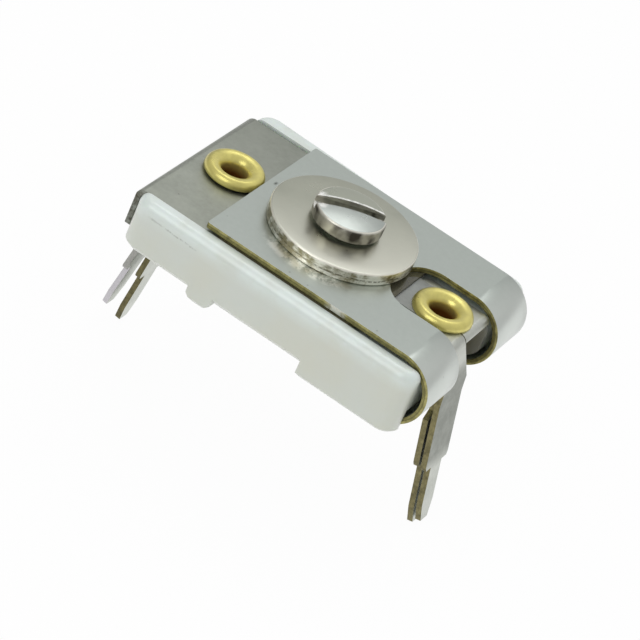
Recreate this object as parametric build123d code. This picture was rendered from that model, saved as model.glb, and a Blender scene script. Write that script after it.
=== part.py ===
from build123d import *
import math
import os

# Compression trimmer capacitor.  Millimetres.
# Z is up and runs along the adjusting screw, X runs along the base from one eyelet to the other.
# The origin lies on the screw axis, level with the four shoulders that seat on the circuit board.

# Heights of the stack
SHEET_T = 0.28
FILM_T = 0.03
FOIL_T = 0.05
SPRING_TOP_Z = 7.48
SPRING_BOTTOM_Z = SPRING_TOP_Z - SHEET_T
PLATE_TOP_Z = 7.0
PLATE_BOTTOM_Z = PLATE_TOP_Z - SHEET_T
MOVING_FOIL_Z = PLATE_TOP_Z + FILM_T
MOVING_FOIL_TOP_Z = MOVING_FOIL_Z + FOIL_T
FIXED_FOIL_Z = MOVING_FOIL_TOP_Z + FILM_T
FIXED_FOIL_TOP_Z = FIXED_FOIL_Z + FOIL_T
CHEEK_RISE = 0.12
BASE_TOP_Z = PLATE_TOP_Z + CHEEK_RISE
BASE_BOTTOM_Z = 4.42
PAD_BOTTOM_Z = 4.1
RIM_BOTTOM_Z = 3.8
LEAF_TOP_Z = PAD_BOTTOM_Z
LEAF_BOTTOM_Z = LEAF_TOP_Z - SHEET_T

# Ceramic base
BASE_HALF_X = 7.58
BASE_HALF_Y = 5.84
CHEEK_W = 0.79
CHEEK_INNER_Y = BASE_HALF_Y - CHEEK_W
REAR_FLARE = 0.28
REAR_FLARE_END_X = 0.4
BASE_CORNER_R = 0.85
BASE_TOP_EDGE_R = 0.45
BASE_LOW_EDGE = 0.3
BASE_SCREW_HOLE_R = 1.35
NOSE_GAP = 0.25
PAD_START_X = BASE_HALF_X - 5.13
PAD_EDGE = 0.18
FOOT_X = -3.05
FOOT_LENGTH = 1.3
FOOT_BOTTOM_Z = 3.94
FOOT_EDGE = 0.36

# Threaded insert in the base
INSERT_SIDE = 4.0
INSERT_BOTTOM_Z = LEAF_TOP_Z
INSERT_TOP_Z = 5.8
INSERT_BORE_R = 1.1
INSERT_POCKET_GAP = 0.05
INSERT_EDGE_CHAMFER = 0.12

# Eyelets
EYELET_X = BASE_HALF_X - 1.78
EYELET_BORE_R = 0.64
EYELET_TUBE_R = 1.0
EYELET_HOLE_R = EYELET_TUBE_R + 0.02
BASE_EYELET_HOLE_R = EYELET_TUBE_R + 0.06
EYELET_CREST_R = 1.16
EYELET_FLANGE_R = 1.47
EYELET_ROLL_H = 0.4
EYELET_THROAT = 0.05
EYELET_FOOT_CREST_R = 0.98
EYELET_FOOT_FLANGE_R = 1.25
EYELET_FOOT_ROLL_H = 0.3
ROLL_STEPS = 5

# Spring plate
SHEET_SIDE_GAP = 0.07
SPRING_LEFT_X = -EYELET_X + EYELET_FLANGE_R + 0.02
SPRING_HALF_Y = CHEEK_INNER_Y - SHEET_SIDE_GAP
SPRING_CORNER_R = 0.12
CURL_X = BASE_HALF_X - 1.17
CURL_MID_R = (SPRING_TOP_Z - LEAF_BOTTOM_Z - SHEET_T) / 2
CURL_MID_Z = LEAF_BOTTOM_Z + SHEET_T / 2 + CURL_MID_R
SPRING_HOLE_R = 1.35
NOTCH_START_X = EYELET_X - 2.55
NOTCH_HALF_Y = 1.95
NOTCH_CORNER_R = 1.5
LOWER_NOTCH_X = EYELET_X + 1.4
LEAF_LEFT_X = -2.7
LEAF_SQUARE_X = NOTCH_START_X - 0.65
LEAF_HALF_Y = SPRING_HALF_Y - 0.28
LEAF_SCREW_HOLE_R = 1.5
LEAF_CORNER_R = 0.8

# Terminal plates
PLATE_HALF_Y = CHEEK_INNER_Y - SHEET_SIDE_GAP
PLATE_CORNER_R = 0.3
PLATE_SCREW_HOLE_R = 1.9
PLATE_RIGHT_X = NOTCH_START_X - 0.15
FLANGE_OUTER_X = BASE_HALF_X + 0.36
FLANGE_BOTTOM_Z = 4.95
FLANGE_CORNER_CUT = 0.12
BEND_INNER_R = 0.15
RIGHT_PLATE_LEFT_X = EYELET_X - 1.8
RIGHT_PLATE_END_X = BASE_HALF_X - 0.1
RIGHT_PLATE_HALF_Y = NOTCH_HALF_Y - 0.1
RIGHT_BEND_X = RIGHT_PLATE_END_X + 0.04
BOTTOM_PLATE_INNER_X = EYELET_X - 1.6
BOTTOM_PLATE_HALF_Y = 1.7
LEG_SLOT_HALF_Y = RIGHT_PLATE_HALF_Y + 0.05
LEG_SLOT_FLOOR_X = EYELET_X + 0.45

# Legs
BLADE_HALF_Y = 1.1
NECK_HALF_Y = 0.6
NECK_BOTTOM_Z = 2.75
NECK_SLOPE_H = 0.3
SLANT_REAR_Y = -0.55
SLANT_BOTTOM_Z = 4.2
TINE_HALF_Y = 0.54
TINE_TIP_HALF_Y = 0.32
TINE_TAPER_H = 0.9
SHOULDER_Z = 0.0
SHOULDER_H = 0.2
LEFT_KNEE_Z = 4.1
RIGHT_KNEE_X = RIGHT_BEND_X + 0.38
RIGHT_KNEE_Z = 3.4
OUTER_TIP_X = BASE_HALF_X + 1.66
LEFT_OUTER_TIP_Z = -2.8
RIGHT_OUTER_TIP_Z = -3.0
INNER_BEND_X = BASE_HALF_X - 0.1
INNER_KNEE_X = INNER_BEND_X + 0.02
INNER_KNEE_Z = 3.3
LEFT_INNER_TIP_X = BASE_HALF_X + 0.77
LEFT_INNER_TIP_Z = -3.1
RIGHT_INNER_TIP_X = BASE_HALF_X + 1.34
RIGHT_INNER_TIP_Z = -3.3

# Foils and mica films
STACK_LEFT_X = SPRING_LEFT_X + 0.81
STACK_RIGHT_X = EYELET_X - 2.3
FILM_HALF_Y = SPRING_HALF_Y - 0.06
STACK_HALF_Y = FILM_HALF_Y - 0.4
STACK_CORNER_R = 0.5
FILM_HOLE_R = 1.6
FILM_MARGIN = 0.35
FOIL_HOLE_R = 1.9
MOVING_TONGUE_HALF_Y = 1.3
FIXED_TONGUE_HALF_Y = 0.7
FOIL_EYE_R = 1.35

# Washer
WASHER_R = 3.55
WASHER_BORE_R = 1.13
WASHER_T = 0.64
WASHER_EDGE = 0.1
WASHER_TOP_Z = SPRING_TOP_Z + WASHER_T

# Adjusting screw
SHANK_R = 1.05
SHANK_BOTTOM_Z = 3.1
SHANK_CHAMFER = 0.2
SEAT_R = 1.3
SEAT_H = 0.12
HEAD_R = 1.7
HEAD_SIDE_H = 0.7
HEAD_CROWN_H = 0.2
SLOT_W = 0.52
SLOT_DEPTH = 0.5
SLOT_ANGLE = 31.0
HEAD_BOTTOM_Z = WASHER_TOP_Z + SEAT_H
HEAD_SIDE_TOP_Z = HEAD_BOTTOM_Z + HEAD_SIDE_H
HEAD_TOP_Z = HEAD_SIDE_TOP_Z + HEAD_CROWN_H

# A cutter reaches this far past the face it opens
CUT = 1.0


def block(x0, x1, y0, y1, z0, z1):
    """Box between two corners."""
    size = (x1 - x0, y1 - y0, z1 - z0)
    centre = ((x0 + x1) / 2, (y0 + y1) / 2, (z0 + z1) / 2)
    return Pos(*centre) * Box(*size)


def post(x, radius, z0, z1):
    """Upright cylinder on the XZ plane."""
    return Pos(x, 0, (z0 + z1) / 2) * Cylinder(radius, z1 - z0)


def rounded_slab(x0, x1, half_y, z0, z1, corner_r):
    """Flat plate with its four upright corners rounded."""
    slab = block(x0, x1, -half_y, half_y, z0, z1)
    return fillet(slab.edges().filter_by(Axis.Z), corner_r)


def turned(points):
    """Solid of revolution about the Z axis from a closed outline of (radius, z) points."""
    outline = Polyline(*[(r, 0, z) for r, z in points], close=True)
    return revolve(make_face(outline), Axis.Z)


def rolled_rim(bore_r, crest_r, rim_r, seat_z, height, throat, start_angle):
    """Outline of a rolled rim in flat steps: steep outside the crest, running down into the bore inside it."""
    points = []
    for i in range(ROLL_STEPS + 1):
        angle = start_angle + math.pi * i / ROLL_STEPS
        side = math.cos(angle)
        width = rim_r - crest_r if side > 0 else crest_r - bore_r
        drop = throat * min(side, 0) ** 2
        points.append((crest_r + width * side, seat_z + height * math.sin(angle) - drop))
    return points


def side_points(points, offset):
    """Shift a chain of (x, z) points sideways by an offset, with mitred corners."""
    shifted = []
    last = len(points) - 1
    for i, (x, z) in enumerate(points):
        before = points[max(i - 1, 0)]
        after = points[min(i + 1, last)]
        normals = []
        for a, b in ((before, (x, z)), ((x, z), after)):
            length = math.hypot(b[0] - a[0], b[1] - a[1])
            if length > 0:
                normals.append(((a[1] - b[1]) / length, (b[0] - a[0]) / length))
        sx = sum(n[0] for n in normals)
        sz = sum(n[1] for n in normals)
        scale = offset * len(normals) / (sx * sx + sz * sz)
        shifted.append((x + sx * scale, z + sz * scale))
    return shifted


def folded_sheet(points, half_y):
    """Sheet of the common thickness, folded along a chain of (x, z) points on its outer face."""
    inner = side_points(points, -SHEET_T)
    chain = points + inner[::-1]
    outline = Polyline(*[(x, 0, z) for x, z in chain], close=True)
    return extrude(make_face(outline), half_y, both=True)


def mirrored(points):
    """Mirror a chain of (x, z) points to the left end and keep its outer face outside."""
    return [(-x, z) for x, z in points][::-1]


def front_outline(points, x0, x1):
    """Solid between two X planes with a closed outline of (y, z) points."""
    outline = Polyline(*[(x0, y, z) for y, z in points], close=True)
    return extrude(make_face(outline), x1 - x0, dir=(1, 0, 0))


def leg_outline(x0, x1, upper, tip_z):
    """Blade with two shoulders, a narrow tine and a tapered tip, seen along X.
    The (y, z) points of its upper end run from the front edge over the top to the rear edge."""
    side = [
        (BLADE_HALF_Y, SHOULDER_Z + SHOULDER_H),
        (BLADE_HALF_Y - SHOULDER_H / 2, SHOULDER_Z),
        (TINE_HALF_Y, SHOULDER_Z),
        (TINE_HALF_Y, tip_z + TINE_TAPER_H),
        (TINE_TIP_HALF_Y, tip_z),
    ]
    other = [(-y, z) for y, z in side[::-1]]
    return front_outline(upper + side + other, x0, x1)


def square_top(half_y, top_z):
    """Straight upper end of a leg."""
    return [(-half_y, top_z), (half_y, top_z)]


def necked_top(top_z):
    """Upper end of an inner leg: a narrow neck that widens to the blade."""
    front = [(-BLADE_HALF_Y, NECK_BOTTOM_Z - NECK_SLOPE_H), (-NECK_HALF_Y, NECK_BOTTOM_Z)]
    rear = [(-y, z) for y, z in front[::-1]]
    return front + square_top(NECK_HALF_Y, top_z) + rear


def slanted_top():
    """Upper end of the right outer leg: its neck leans to the front corner of the plate."""
    return [
        (-BLADE_HALF_Y, SLANT_BOTTOM_Z),
        (-RIGHT_PLATE_HALF_Y, PLATE_BOTTOM_Z),
        (-RIGHT_PLATE_HALF_Y, PLATE_TOP_Z),
        (SLANT_REAR_Y, PLATE_TOP_Z),
        (SLANT_REAR_Y, PLATE_BOTTOM_Z),
        (BLADE_HALF_Y, SLANT_BOTTOM_Z),
    ]


def base_block():
    """Upper body of the base, a little wider at the rear left, with rounded corners and edges."""
    outline = Polyline(
        (-BASE_HALF_X, -BASE_HALF_Y, BASE_BOTTOM_Z),
        (BASE_HALF_X, -BASE_HALF_Y, BASE_BOTTOM_Z),
        (BASE_HALF_X, BASE_HALF_Y, BASE_BOTTOM_Z),
        (REAR_FLARE_END_X, BASE_HALF_Y, BASE_BOTTOM_Z),
        (-BASE_HALF_X, BASE_HALF_Y + REAR_FLARE, BASE_BOTTOM_Z),
        close=True,
    )
    body = extrude(make_face(outline), BASE_TOP_Z - BASE_BOTTOM_Z, dir=(0, 0, 1))
    uprights = body.edges().filter_by(Axis.Z).group_by(Axis.X)
    body = fillet(uprights[0] + uprights[-1], BASE_CORNER_R)
    body = fillet(body.faces().sort_by(Axis.Z)[-1].edges(), BASE_TOP_EDGE_R)
    return chamfer(body.faces().sort_by(Axis.Z)[0].edges(), BASE_LOW_EDGE)


def deep_block():
    """Deeper right part of the base, hollow underneath between its two rims."""
    body = block(PAD_START_X, BASE_HALF_X, -BASE_HALF_Y, BASE_HALF_Y, RIM_BOTTOM_Z, BASE_BOTTOM_Z + BASE_LOW_EDGE)
    body = fillet(body.edges().filter_by(Axis.Z).group_by(Axis.X)[-1], BASE_CORNER_R)
    body = chamfer(body.faces().sort_by(Axis.Z)[0].edges(), PAD_EDGE)
    return body - block(PAD_START_X - CUT, BASE_HALF_X + CUT, -CHEEK_INNER_Y, CHEEK_INNER_Y,
                        RIM_BOTTOM_Z - CUT, PAD_BOTTOM_Z)


def foot(inner_y, outer_y):
    """Small blunt foot under one side of the base."""
    body = block(FOOT_X - FOOT_LENGTH / 2, FOOT_X + FOOT_LENGTH / 2, inner_y, outer_y,
                 FOOT_BOTTOM_Z, BASE_BOTTOM_Z + BASE_LOW_EDGE)
    across = body.edges().group_by(Axis.Z)[0].filter_by(Axis.Y)
    body = chamfer(across, FOOT_EDGE)
    along = body.edges().group_by(Axis.Z)[0].filter_by(Axis.X)
    return chamfer(along, PAD_EDGE)


# Ceramic base: cheeks along both sides, rounded nose inside the curl, deeper right part and small feet
def make_base():
    body = base_block() + deep_block()
    for inner_y, outer_y in ((-BASE_HALF_Y, -CHEEK_INNER_Y), (CHEEK_INNER_Y, BASE_HALF_Y)):
        body += foot(inner_y, outer_y)
    body -= block(-BASE_HALF_X - CUT, BASE_HALF_X + CUT, -CHEEK_INNER_Y, CHEEK_INNER_Y,
                  PLATE_BOTTOM_Z, BASE_TOP_Z + CUT)
    end_room = block(CURL_X, BASE_HALF_X + CUT, -CHEEK_INNER_Y, CHEEK_INNER_Y,
                     PAD_BOTTOM_Z - CUT, BASE_TOP_Z + CUT)
    nose_r = CURL_MID_R - SHEET_T / 2 - NOSE_GAP
    nose = Pos(CURL_X, 0, CURL_MID_Z) * Rot(90, 0, 0) * Cylinder(nose_r, 2 * CHEEK_INNER_Y)
    body -= end_room - nose
    pocket_half = INSERT_SIDE / 2 + INSERT_POCKET_GAP
    body -= block(-pocket_half, pocket_half, -pocket_half, pocket_half, BASE_BOTTOM_Z - CUT, INSERT_TOP_Z)
    body -= post(0, BASE_SCREW_HOLE_R, BASE_BOTTOM_Z - CUT, BASE_TOP_Z + CUT)
    for x in (-EYELET_X, EYELET_X):
        body -= post(x, BASE_EYELET_HOLE_R, BASE_BOTTOM_Z - CUT, BASE_TOP_Z + CUT)
    body -= block(LEG_SLOT_FLOOR_X, BASE_HALF_X + CUT, -LEG_SLOT_HALF_Y, LEG_SLOT_HALF_Y,
                  PAD_BOTTOM_Z - CUT, BASE_TOP_Z + CUT)
    return body


# Square threaded insert, drawn up into its pocket by the screw
def make_insert():
    half = INSERT_SIDE / 2
    body = block(-half, half, -half, half, INSERT_BOTTOM_Z, INSERT_TOP_Z)
    body = chamfer(body.edges().filter_by(Axis.Z), INSERT_EDGE_CHAMFER)
    return body - post(0, INSERT_BORE_R, INSERT_BOTTOM_Z - CUT, INSERT_TOP_Z + CUT)


# Spring plate: one sheet, the top leaf, two curled arms and the lower leaf under the base
def make_spring_plate():
    bottom = rounded_slab(LEAF_LEFT_X, CURL_X, LEAF_HALF_Y, LEAF_BOTTOM_Z, LEAF_TOP_Z, LEAF_CORNER_R)
    square_part = block(LEAF_SQUARE_X, CURL_X, -SPRING_HALF_Y, SPRING_HALF_Y, LEAF_BOTTOM_Z, LEAF_TOP_Z)
    top = rounded_slab(SPRING_LEFT_X, CURL_X, SPRING_HALF_Y,
                       SPRING_BOTTOM_Z, SPRING_TOP_Z, SPRING_CORNER_R)
    top += block(0, CURL_X, -SPRING_HALF_Y, SPRING_HALF_Y, SPRING_BOTTOM_Z, SPRING_TOP_Z)
    curl = Cylinder(CURL_MID_R + SHEET_T / 2, 2 * SPRING_HALF_Y)
    curl -= Cylinder(CURL_MID_R - SHEET_T / 2, 2 * SPRING_HALF_Y)
    curl = Pos(CURL_X, 0, CURL_MID_Z) * Rot(90, 0, 0) * curl
    curl &= block(CURL_X, CURL_X + 2 * CURL_MID_R, -SPRING_HALF_Y, SPRING_HALF_Y,
                  LEAF_BOTTOM_Z - CUT, SPRING_TOP_Z + CUT)
    body = top + curl + bottom + square_part
    far_x = CURL_X + 2 * CURL_MID_R
    notch = rounded_slab(NOTCH_START_X, far_x + NOTCH_CORNER_R, NOTCH_HALF_Y,
                         SPRING_BOTTOM_Z - CUT, SPRING_TOP_Z + CUT, NOTCH_CORNER_R)
    arm_gap = block(CURL_X - SHEET_T, far_x, -NOTCH_HALF_Y, NOTCH_HALF_Y, CURL_MID_Z, SPRING_TOP_Z)
    lower_gap = block(LOWER_NOTCH_X, far_x, -NOTCH_HALF_Y, NOTCH_HALF_Y,
                      LEAF_BOTTOM_Z - CUT, CURL_MID_Z + CUT)
    body -= notch
    body -= arm_gap
    body -= lower_gap
    body -= post(0, SPRING_HOLE_R, SPRING_BOTTOM_Z - CUT, SPRING_TOP_Z + CUT)
    body -= post(0, LEAF_SCREW_HOLE_R, LEAF_BOTTOM_Z - CUT, LEAF_TOP_Z + CUT)
    body -= post(EYELET_X, EYELET_HOLE_R, LEAF_BOTTOM_Z - CUT, LEAF_TOP_Z + CUT)
    return body


# Left terminal, upper piece: fixed plate, full-width flange and the outer blade
def make_left_terminal_top():
    start_x = -FLANGE_OUTER_X + SHEET_T + BEND_INNER_R
    top = rounded_slab(start_x, PLATE_RIGHT_X, PLATE_HALF_Y, PLATE_BOTTOM_Z, PLATE_TOP_Z, PLATE_CORNER_R)
    top += block(start_x, 0, -PLATE_HALF_Y, PLATE_HALF_Y, PLATE_BOTTOM_Z, PLATE_TOP_Z)
    chain = [
        (FLANGE_OUTER_X - 2 * SHEET_T - BEND_INNER_R, PLATE_TOP_Z),
        (FLANGE_OUTER_X, PLATE_TOP_Z),
        (FLANGE_OUTER_X, LEFT_KNEE_Z),
        (OUTER_TIP_X, LEFT_OUTER_TIP_Z),
    ]
    strip = folded_sheet(mirrored(chain), PLATE_HALF_Y)
    bend_edges = strip.edges().filter_by(Axis.Y).group_by(Axis.Z)[-1].sort_by(Axis.X)[0]
    strip = fillet(bend_edges, SHEET_T + BEND_INNER_R)
    flange_side = [
        (PLATE_HALF_Y, PLATE_TOP_Z),
        (PLATE_HALF_Y, FLANGE_BOTTOM_Z + FLANGE_CORNER_CUT),
        (PLATE_HALF_Y - FLANGE_CORNER_CUT, FLANGE_BOTTOM_Z),
    ]
    flange_other = [(-y, z) for y, z in flange_side[::-1]]
    window = front_outline(flange_side + flange_other, -OUTER_TIP_X - CUT, 0)
    blade_top = square_top(BLADE_HALF_Y, FLANGE_BOTTOM_Z + SHEET_T)
    window += leg_outline(-OUTER_TIP_X - CUT, 0, blade_top, LEFT_OUTER_TIP_Z)
    body = top + (strip & window)
    body -= post(0, PLATE_SCREW_HOLE_R, PLATE_BOTTOM_Z - CUT, PLATE_TOP_Z + CUT)
    body -= post(-EYELET_X, EYELET_HOLE_R, PLATE_BOTTOM_Z - CUT, PLATE_TOP_Z + CUT)
    return body


# Right terminal, upper piece: small plate in the notch, the outer leg bent down at its front corner
def make_right_terminal_top():
    start_x = RIGHT_BEND_X - SHEET_T - BEND_INNER_R
    top = rounded_slab(RIGHT_PLATE_LEFT_X, RIGHT_PLATE_END_X, RIGHT_PLATE_HALF_Y,
                       PLATE_BOTTOM_Z, PLATE_TOP_Z, PLATE_CORNER_R)
    top -= block(start_x, RIGHT_PLATE_END_X + CUT, -RIGHT_PLATE_HALF_Y - CUT, SLANT_REAR_Y,
                 PLATE_BOTTOM_Z - CUT, PLATE_TOP_Z + CUT)
    chain = [
        (start_x - SHEET_T, PLATE_TOP_Z),
        (RIGHT_BEND_X, PLATE_TOP_Z),
        (RIGHT_KNEE_X, RIGHT_KNEE_Z),
        (OUTER_TIP_X, RIGHT_OUTER_TIP_Z),
    ]
    strip = folded_sheet(chain, RIGHT_PLATE_HALF_Y)
    bend_edges = strip.edges().filter_by(Axis.Y).group_by(Axis.Z)[-1].sort_by(Axis.X)[-1]
    strip = fillet(bend_edges, SHEET_T + BEND_INNER_R)
    body = top + (strip & leg_outline(0, OUTER_TIP_X + CUT, slanted_top(), RIGHT_OUTER_TIP_Z))
    return body - post(EYELET_X, EYELET_HOLE_R, PLATE_BOTTOM_Z - CUT, PLATE_TOP_Z + CUT)


# Lower terminal pieces: a plate under the base and the inner blade
def make_bottom_terminal(side, plate_top_z, tip_x, tip_z):
    chain = [
        (BOTTOM_PLATE_INNER_X, plate_top_z),
        (INNER_BEND_X, plate_top_z),
        (INNER_KNEE_X, INNER_KNEE_Z),
        (tip_x, tip_z),
    ]
    if side < 0:
        chain = mirrored(chain)
    strip = folded_sheet(chain, BOTTOM_PLATE_HALF_Y)
    x0, x1 = sorted((0, side * (tip_x + CUT)))
    plate_side = [
        (BOTTOM_PLATE_HALF_Y, plate_top_z),
        (BOTTOM_PLATE_HALF_Y, plate_top_z - SHEET_T),
        (-BOTTOM_PLATE_HALF_Y, plate_top_z - SHEET_T),
        (-BOTTOM_PLATE_HALF_Y, plate_top_z),
    ]
    window = front_outline(plate_side, x0, x1)
    window += leg_outline(x0, x1, necked_top(plate_top_z), tip_z)
    bend_edges = strip.edges().filter_by(Axis.Y).group_by(Axis.Z)[-1].sort_by(Axis.X)
    strip = fillet(bend_edges[-1] if side > 0 else bend_edges[0], SHEET_T + BEND_INNER_R / 2)
    body = strip & window
    return body - post(side * EYELET_X, EYELET_HOLE_R, plate_top_z - CUT, plate_top_z + CUT)


# Brass eyelet: tube, rolled upper flange and rolled foot
def make_eyelet(x, seat_z, foot_z):
    outline = [(EYELET_TUBE_R, seat_z)]
    outline += rolled_rim(EYELET_BORE_R, EYELET_CREST_R, EYELET_FLANGE_R,
                          seat_z, EYELET_ROLL_H, EYELET_THROAT, 0)
    outline += rolled_rim(EYELET_BORE_R, EYELET_FOOT_CREST_R, EYELET_FOOT_FLANGE_R,
                          foot_z, EYELET_FOOT_ROLL_H, 0, math.pi)
    outline.append((EYELET_TUBE_R, foot_z))
    return Pos(x, 0, 0) * turned(outline)


# Mica film and thin foil plates of the stack
def make_film(z0):
    body = rounded_slab(STACK_LEFT_X - FILM_MARGIN, STACK_RIGHT_X + FILM_MARGIN, FILM_HALF_Y,
                        z0, z0 + FILM_T, STACK_CORNER_R)
    return body - post(0, FILM_HOLE_R, z0 - CUT, z0 + CUT)


def make_foil(z0, side, tongue_half_y):
    """Thin plate with a tongue to the eyelet on one side."""
    z1 = z0 + FOIL_T
    body = rounded_slab(STACK_LEFT_X, STACK_RIGHT_X, STACK_HALF_Y, z0, z1, STACK_CORNER_R)
    x0, x1 = sorted((0, side * EYELET_X))
    body += block(x0, x1, -tongue_half_y, tongue_half_y, z0, z1)
    body += post(side * EYELET_X, FOIL_EYE_R, z0, z1)
    body -= post(0, FOIL_HOLE_R, z0 - CUT, z1 + CUT)
    return body - post(side * EYELET_X, EYELET_HOLE_R, z0 - CUT, z1 + CUT)


# Round pressure washer under the screw head
def make_washer():
    body = post(0, WASHER_R, SPRING_TOP_Z, WASHER_TOP_Z)
    body = chamfer(body.edges(), WASHER_EDGE)
    return body - post(0, WASHER_BORE_R, SPRING_TOP_Z - CUT, WASHER_TOP_Z + CUT)


# Slotted adjusting screw
def make_adjusting_screw():
    outline = [
        (0, SHANK_BOTTOM_Z),
        (SHANK_R - SHANK_CHAMFER, SHANK_BOTTOM_Z),
        (SHANK_R, SHANK_BOTTOM_Z + SHANK_CHAMFER),
        (SHANK_R, WASHER_TOP_Z),
        (SEAT_R, WASHER_TOP_Z),
        (SEAT_R, HEAD_BOTTOM_Z),
        (HEAD_R, HEAD_BOTTOM_Z),
        (HEAD_R, HEAD_SIDE_TOP_Z),
        (0, HEAD_SIDE_TOP_Z),
    ]
    body = turned(outline)
    dome_r = (HEAD_R ** 2 + HEAD_CROWN_H ** 2) / (2 * HEAD_CROWN_H)
    dome = Pos(0, 0, HEAD_TOP_Z - dome_r) * Sphere(dome_r)
    dome &= post(0, HEAD_R, HEAD_SIDE_TOP_Z, HEAD_TOP_Z + CUT)
    body += dome
    slot = block(-HEAD_R - CUT, HEAD_R + CUT, -SLOT_W / 2, SLOT_W / 2,
                 HEAD_TOP_Z - SLOT_DEPTH, HEAD_TOP_Z + CUT)
    return body - Rot(0, 0, SLOT_ANGLE) * slot


def make_all():
    """Every separate piece by its node name."""
    return {
        "base": make_base(),
        "threaded_insert": make_insert(),
        "spring_plate": make_spring_plate(),
        "left_terminal_top": make_left_terminal_top(),
        "left_terminal_bottom": make_bottom_terminal(-1, BASE_BOTTOM_Z, LEFT_INNER_TIP_X, LEFT_INNER_TIP_Z),
        "right_terminal_top": make_right_terminal_top(),
        "right_terminal_bottom": make_bottom_terminal(1, LEAF_BOTTOM_Z, RIGHT_INNER_TIP_X, RIGHT_INNER_TIP_Z),
        "left_eyelet": make_eyelet(-EYELET_X, FIXED_FOIL_TOP_Z, BASE_BOTTOM_Z - SHEET_T),
        "right_eyelet": make_eyelet(EYELET_X, MOVING_FOIL_TOP_Z, LEAF_BOTTOM_Z - SHEET_T),
        "mica_film_lower": make_film(PLATE_TOP_Z),
        "moving_foil": make_foil(MOVING_FOIL_Z, 1, MOVING_TONGUE_HALF_Y),
        "mica_film_middle": make_film(MOVING_FOIL_TOP_Z),
        "fixed_foil": make_foil(FIXED_FOIL_Z, -1, FIXED_TONGUE_HALF_Y),
        "mica_film_upper": make_film(FIXED_FOIL_TOP_Z),
        "washer": make_washer(),
        "adjusting_screw": make_adjusting_screw(),
    }


os.makedirs("parts", exist_ok=True)
for name, solid in make_all().items():
    export_step(solid, "parts/" + name + ".step")
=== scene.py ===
import math
from functools import partial, wraps

import bmesh
import bpy
from mathutils import Matrix, Vector


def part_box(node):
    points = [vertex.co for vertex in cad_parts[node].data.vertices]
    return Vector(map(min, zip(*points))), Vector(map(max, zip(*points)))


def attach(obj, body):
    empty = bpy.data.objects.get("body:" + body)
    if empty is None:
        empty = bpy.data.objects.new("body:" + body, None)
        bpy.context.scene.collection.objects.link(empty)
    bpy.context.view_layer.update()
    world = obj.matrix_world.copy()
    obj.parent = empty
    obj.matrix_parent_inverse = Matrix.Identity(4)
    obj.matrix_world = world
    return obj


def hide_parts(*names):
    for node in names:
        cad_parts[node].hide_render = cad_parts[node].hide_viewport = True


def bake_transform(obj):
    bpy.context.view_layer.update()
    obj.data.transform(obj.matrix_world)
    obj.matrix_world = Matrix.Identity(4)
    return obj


bl_info = {
    "name": "Compression Trimmer Capacitor",
    "version": (1, 0, 0),
    "blender": (4, 5, 0),
    "location": "3D View > Sidebar > Trimmer",
    "description": "Builds the visible pieces of a ceramic trimmer capacitor around its CAD frame",
    "category": "Object",
}

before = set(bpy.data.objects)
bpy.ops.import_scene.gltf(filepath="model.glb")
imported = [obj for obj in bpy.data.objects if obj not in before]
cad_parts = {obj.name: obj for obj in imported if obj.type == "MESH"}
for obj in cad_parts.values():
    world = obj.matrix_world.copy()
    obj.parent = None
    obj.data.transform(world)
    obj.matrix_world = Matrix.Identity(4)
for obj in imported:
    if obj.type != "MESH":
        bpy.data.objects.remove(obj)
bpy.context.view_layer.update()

# Lengths are worked in millimetres and turned to metres when a piece is finished
MM = 0.001


def node_box(node):
    """Lowest and highest corner of a CAD node in millimetres."""
    low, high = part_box(node)
    return low / MM, high / MM


SPRING_LOW, SPRING_HIGH = node_box("spring_plate")
LEFT_LOW, LEFT_HIGH = node_box("left_terminal_top")
RIGHT_LOW, RIGHT_HIGH = node_box("right_terminal_top")
LEFT_INNER_LOW, LEFT_INNER_HIGH = node_box("left_terminal_bottom")
RIGHT_INNER_LOW, RIGHT_INNER_HIGH = node_box("right_terminal_bottom")
WASHER_LOW, WASHER_HIGH = node_box("washer")
SCREW_LOW, SCREW_HIGH = node_box("adjusting_screw")
INSERT_LOW, INSERT_HIGH = node_box("threaded_insert")
LEFT_EYELET_LOW, LEFT_EYELET_HIGH = node_box("left_eyelet")
RIGHT_EYELET_LOW, RIGHT_EYELET_HIGH = node_box("right_eyelet")

# Sheet metal
SHEET_T = 0.28
EDGE_ROUND = 0.03
BEND_MID_R = 0.29
KNEE_R = 0.5
FOLD_STEP_DEG = 6.0

# Spring plate
CURL_X = 6.41
NOTCH_START_X = 3.25
NOTCH_HALF_Y = 1.95
NOTCH_CORNER_R = 1.5
LOWER_NOTCH_X = 7.2
SPRING_HOLE_R = 1.35
LEAF_HOLE_R = 1.5
LEAF_LEFT_X = -2.7
LEAF_HALF_Y = 4.7
LEAF_CORNER_R = 0.8
LEAF_SQUARE_X = 2.6
SPRING_CORNER_R = 0.12
SPRING_CUT_STEP = 1.0
SPRING_CUTS = 10
SPRING_CUT_Y = 3.4

# Terminals
EYELET_X = 5.8
EYELET_HOLE_R = 1.02
PLATE_HOLE_R = 1.9
PLATE_CORNER_R = 0.3
FLANGE_BOTTOM_Z = 4.95
FLANGE_CORNER_R = 0.1
LEFT_KNEE_X = 7.94
LEFT_KNEE_Z = 4.1
RIGHT_KNEE_X = 7.9
RIGHT_KNEE_Z = 3.4
RIGHT_BEND_X = 7.52
RIGHT_PLATE_LEFT_X = 4.0
RIGHT_PLATE_END_X = 7.48
RIGHT_PLATE_HALF_Y = 1.85
INNER_BEND_X = 7.48
INNER_KNEE_X = 7.5
INNER_KNEE_Z = 3.3
INNER_BEND_MID_R = 0.215
INNER_KNEE_R = 0.125
BOTTOM_PLATE_INNER_X = 4.2
BOTTOM_PLATE_HALF_Y = 1.7
BLADE_HALF_Y = 1.1
NECK_HALF_Y = 0.6
NECK_BOTTOM_Z = 2.75
NECK_SLOPE_H = 0.3
SLANT_REAR_Y = -0.55
SLANT_BOTTOM_Z = 4.2
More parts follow.
